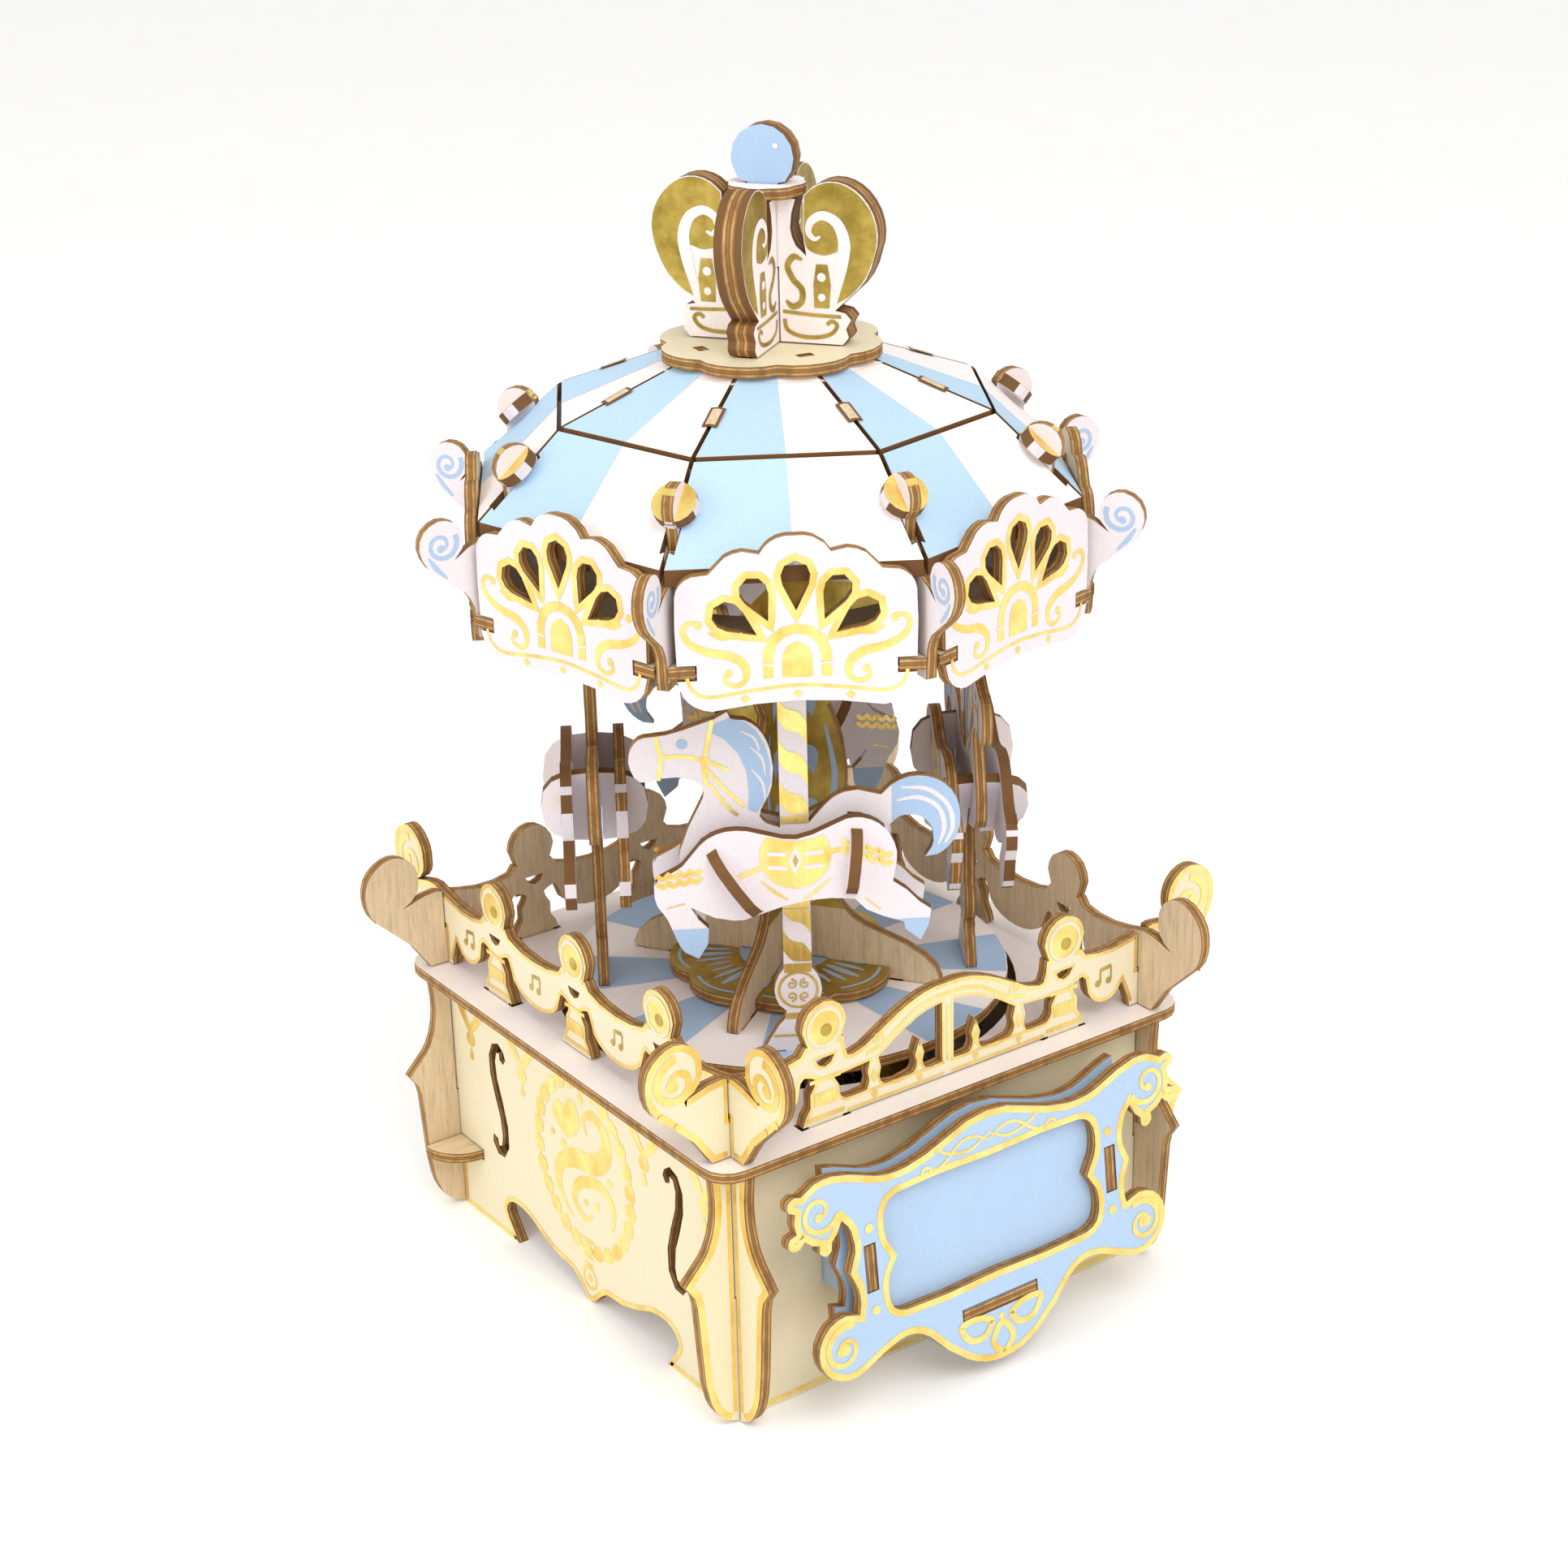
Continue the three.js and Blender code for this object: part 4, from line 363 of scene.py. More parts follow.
def ink(body, material):
    key = (body, material.name)
    if key not in INKS:
        INKS[key] = Ink(body, material)
    return INKS[key]


LIFT = 0.04
STEP = 0.0007
MARKS = 45
marks_made = 0


def height_of(layer):
    """Height above the sheet, a hair different for each mark so that no two lie in one plane."""
    global marks_made
    marks_made += 1
    return LIFT * layer + STEP * (marks_made % MARKS)


def fill(material, plane, outline, holes=(), layer=1):
    loops = [[Vector((a, b, 0)) for a, b in loop] for loop in [outline, *holes]]
    flat = [point for loop in loops for point in loop]
    target = ink(plane.body, material)
    height = height_of(layer)
    for triangle in tessellate_polygon(loops):
        corners = [plane.point(flat[index], height) for index in triangle]
        target.face(corners, plane.normal)


def smooth(path, steps=6, closed=False):
    """Points along a Catmull-Rom curve through the given ones, with any extra values carried along."""
    points = [tuple(point) for point in path]
    count = len(points)
    out = []
    spans = count if closed else count - 1
    for index in range(spans):
        def at(offset):
            place = index + offset
            return points[place % count] if closed else points[max(0, min(count - 1, place))]
        before, first, second, after = at(-1), at(0), at(1), at(2)
        for step in range(steps):
            t = step / steps
            out.append(
                tuple(
                    0.5 * (2 * b + (c - a) * t + (2 * a - 5 * b + 4 * c - d) * t * t +
                        (3 * b - a - 3 * c + d) * t ** 3)
                    for a, b, c, d in zip(before, first, second, after)
                )
            )
    if not closed:
        out.append(points[-1])
    return out


def ribbon(material, plane, path, layer=1):
    """A strip along (across, up, width) points."""
    target = ink(plane.body, material)
    height = height_of(layer)
    sides = []
    for index, (a, b, width) in enumerate(path):
        before = path[max(0, index - 1)]
        after = path[min(len(path) - 1, index + 1)]
        run = Vector((after[0] - before[0], after[1] - before[1]))
        if run.length < 1e-9:
            continue
        run.normalize()
        half = width / 2
        sides.append(((a - run.y * half, b + run.x * half), (a + run.y * half, b - run.x * half)))
    for first, second in zip(sides, sides[1:]):
        corners = [plane.point(p, height) for p in (first[0], first[1], second[1], second[0])]
        target.face(corners, plane.normal)


def stroke(material, plane, path, width=0.8, taper=True, steps=6, layer=1):
    points = [point if len(point) == 3 else (*point, width) for point in path]
    if taper and len(path[0]) == 2:
        points[0] = (*path[0], width * 0.45)
        points[-1] = (*path[-1], width * 0.45)
    ribbon(material, plane, smooth(points, steps), layer)


def line(material, plane, path, width=0.8, layer=1):
    ribbon(material, plane, [(a, b, width) for a, b in path], layer)


def disc_points(a, b, radius, count=28):
    return [
        (a + radius * math.cos(2 * math.pi * i / count), b + radius * math.sin(2 * math.pi * i / count))
        for i in range(count)
    ]


def disc(material, plane, a, b, radius, layer=1, count=28):
    fill(material, plane, disc_points(a, b, radius, count), layer=layer)


def ring(material, plane, a, b, radius, width, layer=1, start=0, end=360):
    count = max(6, int(abs(end - start) / 9))
    path = []
    for index in range(count + 1):
        angle = math.radians(start + (end - start) * index / count)
        path.append((a + radius * math.cos(angle), b + radius * math.sin(angle), width))
    ribbon(material, plane, path, layer)


def spiral(material, plane, a, b, outer, inner, start, turns, width, layer=1):
    """A curl that winds in from the outer radius; turns are positive anticlockwise."""
    count = int(abs(turns) * 32)
    path = []
    for index in range(count + 1):
        share = index / count
        radius = outer + (inner - outer) * share ** 0.85
        angle = math.radians(start) + turns * 2 * math.pi * share
        path.append((a + radius * math.cos(angle), b + radius * math.sin(angle), width * (1 - 0.45 * share)))
    ribbon(material, plane, path, layer)
    last = path[-1]
    disc(material, plane, last[0], last[1], width * 0.75, layer, 14)


def diamond(material, plane, a, b, wide, tall, layer=1):
    fill(material, plane, [(a + wide, b), (a, b + tall), (a - wide, b), (a, b - tall)], layer=layer)


def drop(a, b, size, turn_degrees, width=0.52, count=24):
    """Outline of a drop with its tip downwards before turning."""
    out = []
    angle = math.radians(turn_degrees)
    for index in range(count):
        t = 2 * math.pi * index / count
        x = width * math.sin(t) * math.sin(t / 2) ** 1.5 * 1.25
        y = -0.92 * math.cos(t)
        out.append(
            (
                a + size * (x * math.cos(angle) - y * math.sin(angle)),
                b + size * (x * math.sin(angle) + y * math.cos(angle)),
            )
        )
    return out


def grown(loop, amount):
    """The closed loop moved outwards by the amount (inwards when negative)."""
    area = sum(loop[i - 1][0] * loop[i][1] - loop[i][0] * loop[i - 1][1] for i in range(len(loop)))
    sign = 1 if area > 0 else -1
    out = []
    count = len(loop)
    for index in range(count):
        before, here, after = loop[index - 1], loop[index], loop[(index + 1) % count]
        one = Vector((here[0] - before[0], here[1] - before[1]))
        two = Vector((after[0] - here[0], after[1] - here[1]))
        if one.length < 1e-9 or two.length < 1e-9:
            out.append(here)
            continue
        one.normalize()
        two.normalize()
        first = Vector((one.y, -one.x))
        second = Vector((two.y, -two.x))
        middle = first + second
        if middle.length < 0.3:
            middle = first
        middle.normalize()
        reach = amount / max(0.55, middle.dot(first))
        out.append((here[0] + sign * middle.x * reach, here[1] + sign * middle.y * reach))
    return out


def band(material, plane, loop, inset, width, keep=None, layer=1, closed=True):
    """A strip of the given width that follows a closed outline, set in from it."""
    first = grown(loop, -inset)
    second = grown(loop, -inset - width)
    target = ink(plane.body, material)
    height = height_of(layer)
    count = len(loop)
    for index in range(count if closed else count - 1):
        after = (index + 1) % count
        if keep and not (keep(*loop[index]) and keep(*loop[after])):
            continue
        corners = [plane.point(p, height) for p in (first[index], first[after], second[after], second[index])]
        target.face(corners, plane.normal)


# ------------------------------------------------------------------ outlines read from the CAD nodes
def loops_of(name, plane, slack=0.2):
    """The closed outlines of a node's face that lies on the plane, in the plane's millimetres."""
    mesh = nodes[name].data
    spots = {}
    edges = {}
    for polygon in mesh.polygons:
        corners = [mesh.vertices[index].co * 1000 for index in polygon.vertices]
        flat = [plane.flat(corner) for corner in corners]
        if any(abs(point[2]) > slack for point in flat):
            continue
        if polygon.normal.dot(plane.normal) < 0.9:
            continue
        keys = []
        for point in flat:
            key = (round(point[0], 2), round(point[1], 2))
            spots[key] = point[:2]
            keys.append(key)
        for index in range(len(keys)):
            first, second = keys[index], keys[(index + 1) % len(keys)]
            if first == second:
                continue
            if (second, first) in edges:
                del edges[(second, first)]
            else:
                edges[(first, second)] = True
    following = {}
    for first, second in edges:
        following.setdefault(first, []).append(second)
    loops = []
    while following:
        start = next(iter(following))
        loop = [start]
        here = start
        while True:
            options = following.get(here)
            if not options:
                break
            there = options.pop()
            if not options:
                del following[here]
            if there == start:
                break
            loop.append(there)
            here = there
        if len(loop) > 2:
            loops.append([spots[key] for key in loop])
    loops.sort(key=lambda loop: -max(p[0] for p in loop) + min(p[0] for p in loop))
    return loops


def dense(loop, longest=1.2):
    """The loop with its long sides split, so that a strip can start and stop anywhere along it."""
    out = []
    for index, here in enumerate(loop):
        after = loop[(index + 1) % len(loop)]
        length = math.hypot(after[0] - here[0], after[1] - here[1])
        parts = max(1, math.ceil(length / longest))
        for part in range(parts):
            share = part / parts
            out.append((here[0] + (after[0] - here[0]) * share, here[1] + (after[1] - here[1]) * share))
    return out


def region(body, material, name, normal, cuts=(), layer=1, agree=0.9):
    """A copy of a node's faces that look along the normal, cut back to one side of each plane."""
    mesh = nodes[name].data
    work = bmesh.new()
    normal = Vector(normal).normalized()
    for polygon in mesh.polygons:
        if polygon.normal.dot(normal) < agree:
            continue
        corners = [mesh.vertices[index].co * 1000 for index in polygon.vertices]
        work.faces.new([work.verts.new(corner) for corner in corners])
    bmesh.ops.remove_doubles(work, verts=work.verts, dist=0.001)
    for point, outward in cuts:
        bmesh.ops.bisect_plane(
            work,
            geom=work.verts[:] + work.edges[:] + work.faces[:],
            plane_co=Vector(point),
            plane_no=Vector(outward),
            clear_outer=True,
        )
    work.faces.ensure_lookup_table()
    target = ink(body, material)
    for face in work.faces:
        lift = face.normal if face.normal.dot(normal) > 0 else -face.normal
        corners = [vertex.co + lift * LIFT * layer for vertex in face.verts]
        target.face(corners, normal)
    work.free()


# ------------------------------------------------------------------ dressing the CAD nodes
def dress(name, faces, edge):
    """Gives each face of a node the material whose direction it looks in, and the rest the cut edge."""
    mesh = nodes[name].data
    mesh.materials.clear()
    mesh.materials.append(edge)
    for direction, material, agree in faces:
        mesh.materials.append(material)
    for polygon in mesh.polygons:
        polygon.material_index = 0
        for index, (direction, material, agree) in enumerate(faces):
            if polygon.normal.dot(Vector(direction)) > agree:
                polygon.material_index = index + 1
                break


def facing(azimuth):
    angle = math.radians(azimuth)
    return Vector((math.cos(angle), math.sin(angle), 0))


def dress_upright(name, azimuth, distance, outer, inner, thick=PLY, agree=0.95):
    normal = facing(azimuth)
    dress(name, [(normal, outer, agree), (-normal, inner, agree)], edge_material(normal, distance, thick))


def dress_both(name, azimuth, material, distance=0, thick=PLY):
    """The same material on both faces of a sheet that faces the azimuth."""
    dress_upright(name, azimuth, distance, material, material, thick, 0.97)


FACE_TURN = -122  # direction the front roof face looks
face_azimuth = [FACE_TURN + 45 * index for index in range(8)]
ridge_azimuth = [angle - 22.5 for angle in face_azimuth]
horse_azimuth = [FACE_TURN + 90 * index for index in range(4)]

for name, azimuth, distance in (
    ("front", -90, WALL_Y),
    ("back", 90, WALL_Y),
    ("left", 180, WALL_X),
    ("right", 0, WALL_X),
):
    dress_upright("wall_" + name, azimuth, distance, CREAM, BARE)
    dress_upright("fence_" + name, azimuth, distance, CREAM, BARE)


def dress_flat(name, top, under, middle, thick=PLY):
    dress(name, [((0, 0, 1), top, 0.9), ((0, 0, -1), under, 0.9)], edge_material((0, 0, 1), middle, thick))


def middle_of(name):
    low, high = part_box(name)
    return (low[2] + high[2]) / 2 / MM


for name, top, under in (
    ("deck", PALE, BARE_FLAT),
    ("movement_shelf", BARE_FLAT, BARE_FLAT),
    ("turntable", WHITE, BARE_FLAT),
    ("medallion", SKY, BARE_FLAT),
    ("ceiling_ring", BARE_FLAT, BARE_FLAT),
    ("crown_plate", CREAM, BARE_FLAT),
    ("crown_cap", WHITE, BARE_FLAT),
):
    dress_flat(name, top, under, middle_of(name))

lean = math.radians(PLAQUE_LEAN)
PLAQUE = Plane((0, -66.8, 37.9), (1, 0, 0), (0, math.sin(lean), math.cos(lean)))
PLAQUE.body = "base"
plaque_offset = PLAQUE.origin.dot(PLAQUE.normal)
for name, depth in (("plaque_front", 1.1), ("plaque_back", 5.8)):
    edge = edge_material(PLAQUE.normal, plaque_offset - depth, PLY)
    dress(name, [(PLAQUE.normal, PLAQUE_BLUE, 0.95), (-PLAQUE.normal, BARE, 0.95)], edge)
for name, side in (("plaque_cheek_left", -1), ("plaque_cheek_right", 1)):
    dress(
        name,
        [((side, 0, 0), PLAQUE_BLUE, 0.9), ((-side, 0, 0), BARE, 0.9)],
        edge_material((1, 0, 0), side * 29.8, PLY),
    )
dress(
    "plaque_prop",
    [(PLAQUE.upward, PLAQUE_BLUE, 0.9), (-PLAQUE.upward, PLAQUE_BLUE, 0.9)],
    edge_material(PLAQUE.upward, PLAQUE.origin.dot(PLAQUE.upward) - 22.9, PLY),
)

# across and up shares of the directions that the oval plates of a horse face
SPREADER_FACES = ((0.835, 0.551), (0.994, -0.105))
for index, azimuth in enumerate(horse_azimuth, 1):
    normal = facing(azimuth)
    dress_upright("horse_%d_pole" % index, azimuth, POLE_RADIUS, LILAC, LILAC)
    side_edges = edge_material(normal, POLE_RADIUS - SIDE_OFFSET, PLY)
    across = facing(azimuth + 90)
    faces = [(normal, LILAC, 0.95), (-normal, LILAC, 0.95)]
    for lean_across, lean_up in SPREADER_FACES:
        face = across * lean_across + Vector((0, 0, lean_up))
        faces += [(face, LILAC, 0.99), (-face, LILAC, 0.99)]
    dress("horse_%d_body" % index, faces, side_edges)
    # the rounded ends of the oval plates, outside the two side plates, are bare cut edges
    body = nodes["horse_%d_body" % index]
    for polygon in body.data.polygons:
        out = (body.matrix_world @ polygon.center).dot(normal) / MM - POLE_RADIUS
        if abs(out) > OVAL_ENDS and abs(polygon.normal.dot(normal)) > 0.9:
            polygon.material_index = 0

for name, azimuth in (("column_plate_a", ridge_azimuth[0]), ("column_plate_b", ridge_azimuth[2])):
    dress_both(name, azimuth - 90, LILAC)
for index in range(1, 5):
    dress_both("roof_rib_%d" % index, ridge_azimuth[2 * index - 1] - 90, LILAC)
for index, azimuth in enumerate(face_azimuth, 1):
    dress_upright("valance_%d" % index, azimuth, VALANCE_RADIUS, LILAC, BARE)
    tilt = Vector((facing(azimuth).x * 0.68, facing(azimuth).y * 0.68, 0.73)).normalized()
    dress(
        "roof_panel_%d" % index,
        [(tilt, WHITE, 0.9), (-tilt, BARE, 0.9)],
        edge_material(tilt, 0, PLY),
    )
dress("roof_top", [((0, 0, 1), WHITE, 0.6), ((0, 0, -1), BARE, 0.6)], edge_material((0, 0, 1), 186, PLY))
for name, azimuth in (("crown_arm_a", ridge_azimuth[0]), ("crown_arm_b", ridge_azimuth[2])):
    dress_both(name, azimuth - 90, WHITE, thick=CROWN_ARM / 2)
dress_both("crown_ball", ridge_azimuth[0], SKY, -PLY / 2)
for name, material in (
    ("movement_bedplate", BRASS),
    ("movement_comb", STEEL),
    ("movement_cylinder", BRASS),
    ("movement_fly", STEEL),
    ("movement_barrel", STEEL),
    ("winding_key", STEEL),
):
    dress(name, [], material)


# ------------------------------------------------------------------ walls
def flipped(path, side):
    return [(point[0] * side, *point[1:]) for point in path]


def wall_prints(name, azimuth, half, distance):
    plane = upright(azimuth, distance)
    plane.body = "base"
    loop = dense(loops_of("wall_" + name, plane)[0])
    band(GOLD, plane, loop, 0.0, 1.5, keep=lambda u, v: abs(u) > half + 2.4 and v < 55)
    for side in (-1, 1):
        line(GOLD, plane, [(side * (half + 2.0), 2.5), (side * (half + 2.0), 54.6)], 0.8)
    if name == "front":
        line(GOLD, plane, [(-half - 1, 1.4), (half + 1, 1.4)], 1.1)
        return
    band(GOLD, plane, loop, 0.0, 1.15, keep=lambda u, v: abs(u) < half and v < 12)
    # badge: a braided oval round a pair of mirrored scrolls
    for index in range(26):
        angle = math.radians(index * 360 / 26)
        after = math.radians((index + 0.82) * 360 / 26)
        path = []
        for step in range(7):
            share = step / 6
            t = angle + (after - angle) * share
            swell = 1 + 0.035 * math.sin(math.pi * share)
            width = 1.6 + 1.9 * math.sin(math.pi * (0.15 + 0.7 * share))
            path.append((16.6 * swell * math.cos(t), 31.4 + 18.2 * swell * math.sin(t), width))
        ribbon(GOLD, plane, path)
    ribbon_path = [(-5.4, 17.6, 0.8), (-10.0, 22.4, 2.2), (-9.2, 28.4, 3.2), (-3.2, 32.2, 4.4),
        (3.6, 33.6, 4.8),
                   (8.4, 37.4, 4.2), (8.8, 42.4, 3.0), (4.4, 45.0, 2.2), (0.6, 42.6, 1.4), (1.8, 39.6, 0.7)]
    stroke(GOLD, plane, ribbon_path)
    cross_path = [(9.8, 21.0, 0.8), (10.6, 26.4, 1.8), (6.2, 29.6, 2.4), (-1.6, 27.2, 2.6), (-4.2, 22.6, 2.0),
                  (-0.8, 19.4, 1.4), (2.4, 21.2, 0.8)]
    stroke(GOLD, plane, cross_path)
    heart = [(-4.4, 36.2), (-0.8, 40.6), (-2.4, 45.2), (-5.6, 44.4), (-6.4, 42.6), (-9.0, 43.2),
        (-11.2, 40.0), (-8.4, 37.0)]
    fill(GOLD, plane, smooth(heart, 5, True))
    for a, b, radius in ((-7.4, 33.6, 1.1), (9.6, 32.0, 1.0), (4.6, 24.4, 0.9), (-11.4, 34.8, 0.8),
            (0.2, 23.4, 0.8)):
        disc(GOLD, plane, a, b, radius)
    diamond(GOLD, plane, 0, 47.0, 1.2, 1.6)
    for b, wide in ((14.6, 2.6), (12.6, 2.2), (10.6, 1.8), (8.8, 1.5)):
        line(GOLD, plane, [(-wide, b), (wide, b)], 0.7)
    ring(GOLD, plane, 0, 5.6, 2.4, 0.75)
    disc(GOLD, plane, 0, 5.6, 0.9)
    # ribbons hanging from the deck
    for side in (-1, 1):
        for knob, left, right_end in ((43.5, 50.5, 35.0), (22.8, 30.5, 14.5)):
            stroke(GOLD, plane, flipped([(left, 55, 1.2), (left - 3.4, 49.4, 2.4), (knob, 44.4, 1.4)], side))
            stroke(GOLD, plane, flipped([(right_end, 55, 1.2), (right_end + 4.4, 49.4, 2.4),
                (knob, 44.4, 1.4)], side))
            disc(GOLD, plane, side * knob, 42.6, 1.7)
            fill(GOLD, plane, drop(side * knob, 39.2, 1.7, 180))


wall_prints("front", -90, WALL_X, WALL_Y)
wall_prints("back", 90, WALL_X, WALL_Y)
wall_prints("left", 180, WALL_Y, WALL_X)
wall_prints("right", 0, WALL_Y, WALL_X)

# ------------------------------------------------------------------ fences
DECK_TOP = 57.8


def note(plane, a, b, size):
    """A plain pair of joined quavers."""
    for shift in (-0.9, 0.9):
        disc(GOLD_DARK, plane, a + shift * size, b - size, 0.48 * size, 2, 12)
        line(GOLD_DARK, plane, [(a + shift * size + 0.4 * size, b - size),
            (a + shift * size + 0.4 * size, b + size * 0.9)], 0.26 * size, 2)
    line(GOLD_DARK, plane, [(a - 0.5 * size, b + 0.75 * size), (a + 1.3 * size, b + 1.0 * size)],
        0.5 * size, 2)


def fence_prints(name, azimuth, half, distance, gate):
    plane = upright(azimuth, distance)
    plane.body = "base"
    post = half * (0.586 if gate else 0.582)
    loops = loops_of("fence_" + name, plane)
    outer = dense(loops[0], 0.9)
    band(GOLD, plane, outer, 0.05, 0.75, keep=lambda u, v: v > DECK_TOP + 0.8)
    band(GOLD, plane, outer, 0.05, 1.3, keep=lambda u, v: abs(u) > half + 1.5)
    posts = [-post, post] if gate else [-post, 0, post]
    for at in posts:
        disc(GOLD, plane, at, 77.7, 3.4, 2)
        ring(CREAM, plane, at, 77.7, 3.75, 0.7, 3)
        disc(GOLD_DARK, plane, at + 0.4, 77.1, 1.3, 3)
        line(GOLD, plane, [(at - 3.6, 67.0), (at + 3.6, 67.0)], 0.8, 2)
        fill(GOLD, plane, [(at - 2.6, 61.6), (at + 2.6, 61.6), (at + 2.6, 64.3), (at - 2.6, 64.3)], layer=2)
        line(GOLD, plane, [(at - 4.4, 59.2), (at + 4.4, 59.2)], 0.8, 2)
    for side in (-1, 1):
        spiral(GOLD, plane, side * (half + 12.3), 76.9, 5.2, 1.1, 90, -side * 1.3, 1.8, 2)
        disc(GOLD, plane, side * (half + 15.9), 71.0, 0.75, 3)
        disc(GOLD, plane, side * (half + 12.6), 68.2, 0.6, 3)
    shields = []
    if not gate:
        shields += [(side * post / 2, 67.0) for side in (-1, 1)]
    shields += [(side * (post + half) / 2, 67.2) for side in (-1, 1)]
    for a, b in shields:
        note(plane, a, b, 1.55)
    if not gate:
        return
    for side in (-1, 1):
        arch = [(19.6, 69.0), (15.6, 69.9), (12.2, 71.9), (8.6, 74.2), (4.6, 75.4), (0.0, 75.7)]
        stroke(GOLD, plane, flipped(arch, side), 0.8, False)
        spiral(GOLD, plane, side * 16.9, 71.3, 1.5, 0.3, 200 if side > 0 else -20, -side * 1.2, 0.5, 2)
        for at in (17.8, 6.9):
            diamond(GOLD, plane, side * at, 63.9, 0.75, 1.5, 2)
            diamond(GOLD, plane, side * at, 60.0, 0.8, 1.1, 2)
        line(GOLD, plane, [(side * 0.9, 61.0), (side * (post - 5), 61.0)], 0.55, 2)
        line(GOLD, plane, [(side * 0.9, 58.6), (side * (post - 5), 58.6)], 0.55, 2)
    line(GOLD, plane, [(0, 61.2), (0, 73)], 0.7, 2)
    for hole in loops[1:]:
        band(GOLD, plane, dense(hole, 0.9), -0.5, 0.5)


fence_prints("front", -90, WALL_X, WALL_Y, True)
fence_prints("back", 90, WALL_X, WALL_Y, False)
fence_prints("left", 180, WALL_Y, WALL_X, False)
fence_prints("right", 0, WALL_Y, WALL_X, False)

# ------------------------------------------------------------------ plaque
front_loops = loops_of("plaque_front", PLAQUE)
band(GOLD, PLAQUE, dense(front_loops[0]), 0.05, 1.35)
window = max(front_loops[1:], key=lambda loop: max(p[0] for p in loop) - min(p[0] for p in loop))
band(GOLD, PLAQUE, dense(window), -1.35, 1.35)
for side in (-1, 1):
    spiral(GOLD, PLAQUE, side * 40.6, 10.2, 4.7, 1.0, 200 if side > 0 else -20, side * 1.2, 1.25, 2)
    spiral(GOLD, PLAQUE, side * 37.4, -19.2, 5.0, 1.0, 120 if side > 0 else 60, -side * 1.35, 1.4, 2)
    disc(GOLD, PLAQUE, side * 37.4, -19.2, 1.2, 2, 16)
    for spot in ((29.6, 3.2), (29.6, -13.8)):
        disc(GOLD, PLAQUE, side * spot[0], spot[1], 0.95, 2, 16)
    leaf = [(2.2, -26.4), (4.4, -28.9), (8.0, -28.6), (10.0, -25.2), (7.2, -24.6), (4.0, -25.2), (2.2, -26.4)]
    stroke(GOLD, PLAQUE, flipped(leaf, side), 1.35, False, layer=2)
    for wave in (
        [(16.8, 9.3), (16.0, 10.5), (14.4, 10.3), (14.2, 9.0), (10.6, 10.4), (7.0, 13.0), (3.4, 13.2),
            (0.0, 11.4)],
        [(13.2, 12.9), (12.0, 13.2), (11.0, 12.3), (8.0, 11.2), (4.2, 10.9), (0.0, 13.0)],
    ):
        stroke(GOLD, PLAQUE, flipped(wave, side), 0.62, layer=2)
bottom_petal = [(0, -34.2), (2.5, -31.0), (0, -27.4), (-2.5, -31.0), (0, -34.2)]
stroke(GOLD, PLAQUE, bottom_petal, 1.35, False, layer=2)
diamond(GOLD, PLAQUE, 0, -26.2, 0.9, 1.1, 2)

# ------------------------------------------------------------------ turntable and medallion
table = level(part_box("turntable")[1][2] / MM)
for index in range(8):
    start = math.radians(FACE_TURN - 11.25 + 45 * index)
    wedge = [(23 * math.cos(start), 23 * math.sin(start))]
    for step in range(9):
        angle = start + math.radians(22.5) * step / 8
        wedge.append((45.3 * math.cos(angle), 45.3 * math.sin(angle)))
    end = start + math.radians(22.5)
    wedge.append((23 * math.cos(end), 23 * math.sin(end)))
    fill(SKY, table, wedge)
dress_flat("medallion", GOLD_DARK, BARE_FLAT, middle_of("medallion"))
petals = level(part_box("medallion")[1][2] / MM)
for index in range(8):
    angle = ridge_azimuth[0] + 22.5 + 45 * index
    for turn_by, start, stop, wide in ((0, 11.0, 19.6, 1.7), (-9, 11.6, 18.8, 1.2),
            (9, 11.6, 18.8, 1.2), (-18, 12.4, 17.4, 0.9), (18, 12.4, 17.4, 0.9)):
        spin = math.radians(angle + turn_by)
        petal = []
        for step in range(7):
            reach = start + (stop - start) * step / 6
            petal.append((reach * math.cos(spin), reach * math.sin(spin),
                wide * math.sin(math.pi * (0.12 + 0.76 * step / 6))))
        ribbon(SKY, petals, petal)
    arc_path = []
    for step in range(9):
        spin = math.radians(angle - 17 + 34 * step / 8)
        reach = 20.9 + 1.1 * math.cos(math.radians((step - 4) * 22))
        arc_path.append((reach * math.cos(spin), reach * math.sin(spin), 0.7))
    ribbon(SKY, petals, arc_path)
disc(SKY, petals, 0, 0, 9.6)

# ------------------------------------------------------------------ column
for name, azimuth in (("column_plate_a", ridge_azimuth[0]), ("column_plate_b", ridge_azimuth[2])):
    for side in (-1, 1):
        plane = radial(azimuth, side)
        normal = facing(azimuth - 90) * side
        low_cut = [((0, 0, 76), (0, 0, 1))]
        region("carousel", BARE, name, normal, low_cut)
        middle = [((0, 0, 76), (0, 0, -1)), ((0, 0, 146), (0, 0, 1))]
        region("carousel", GOLD_DARK, name, normal, middle)
        for half in (-1, 1):
            for b, size in ((84, 3.4), (96, 4.2), (108, 3.6), (120, 3.0)):
                fill(SKY, plane, drop(half * 6.6, b, size, half * 12, 0.6), layer=2)
            stroke(SKY, plane, flipped([(9.4, 78), (9.0, 88), (10.8, 98), (11.6, 106), (9.8, 116)],
                half), 1.3, layer=2)
            stroke(SKY, plane, flipped([(12, 126), (17, 132.6), (24, 141), (28, 146)], half), 1.6, layer=2)

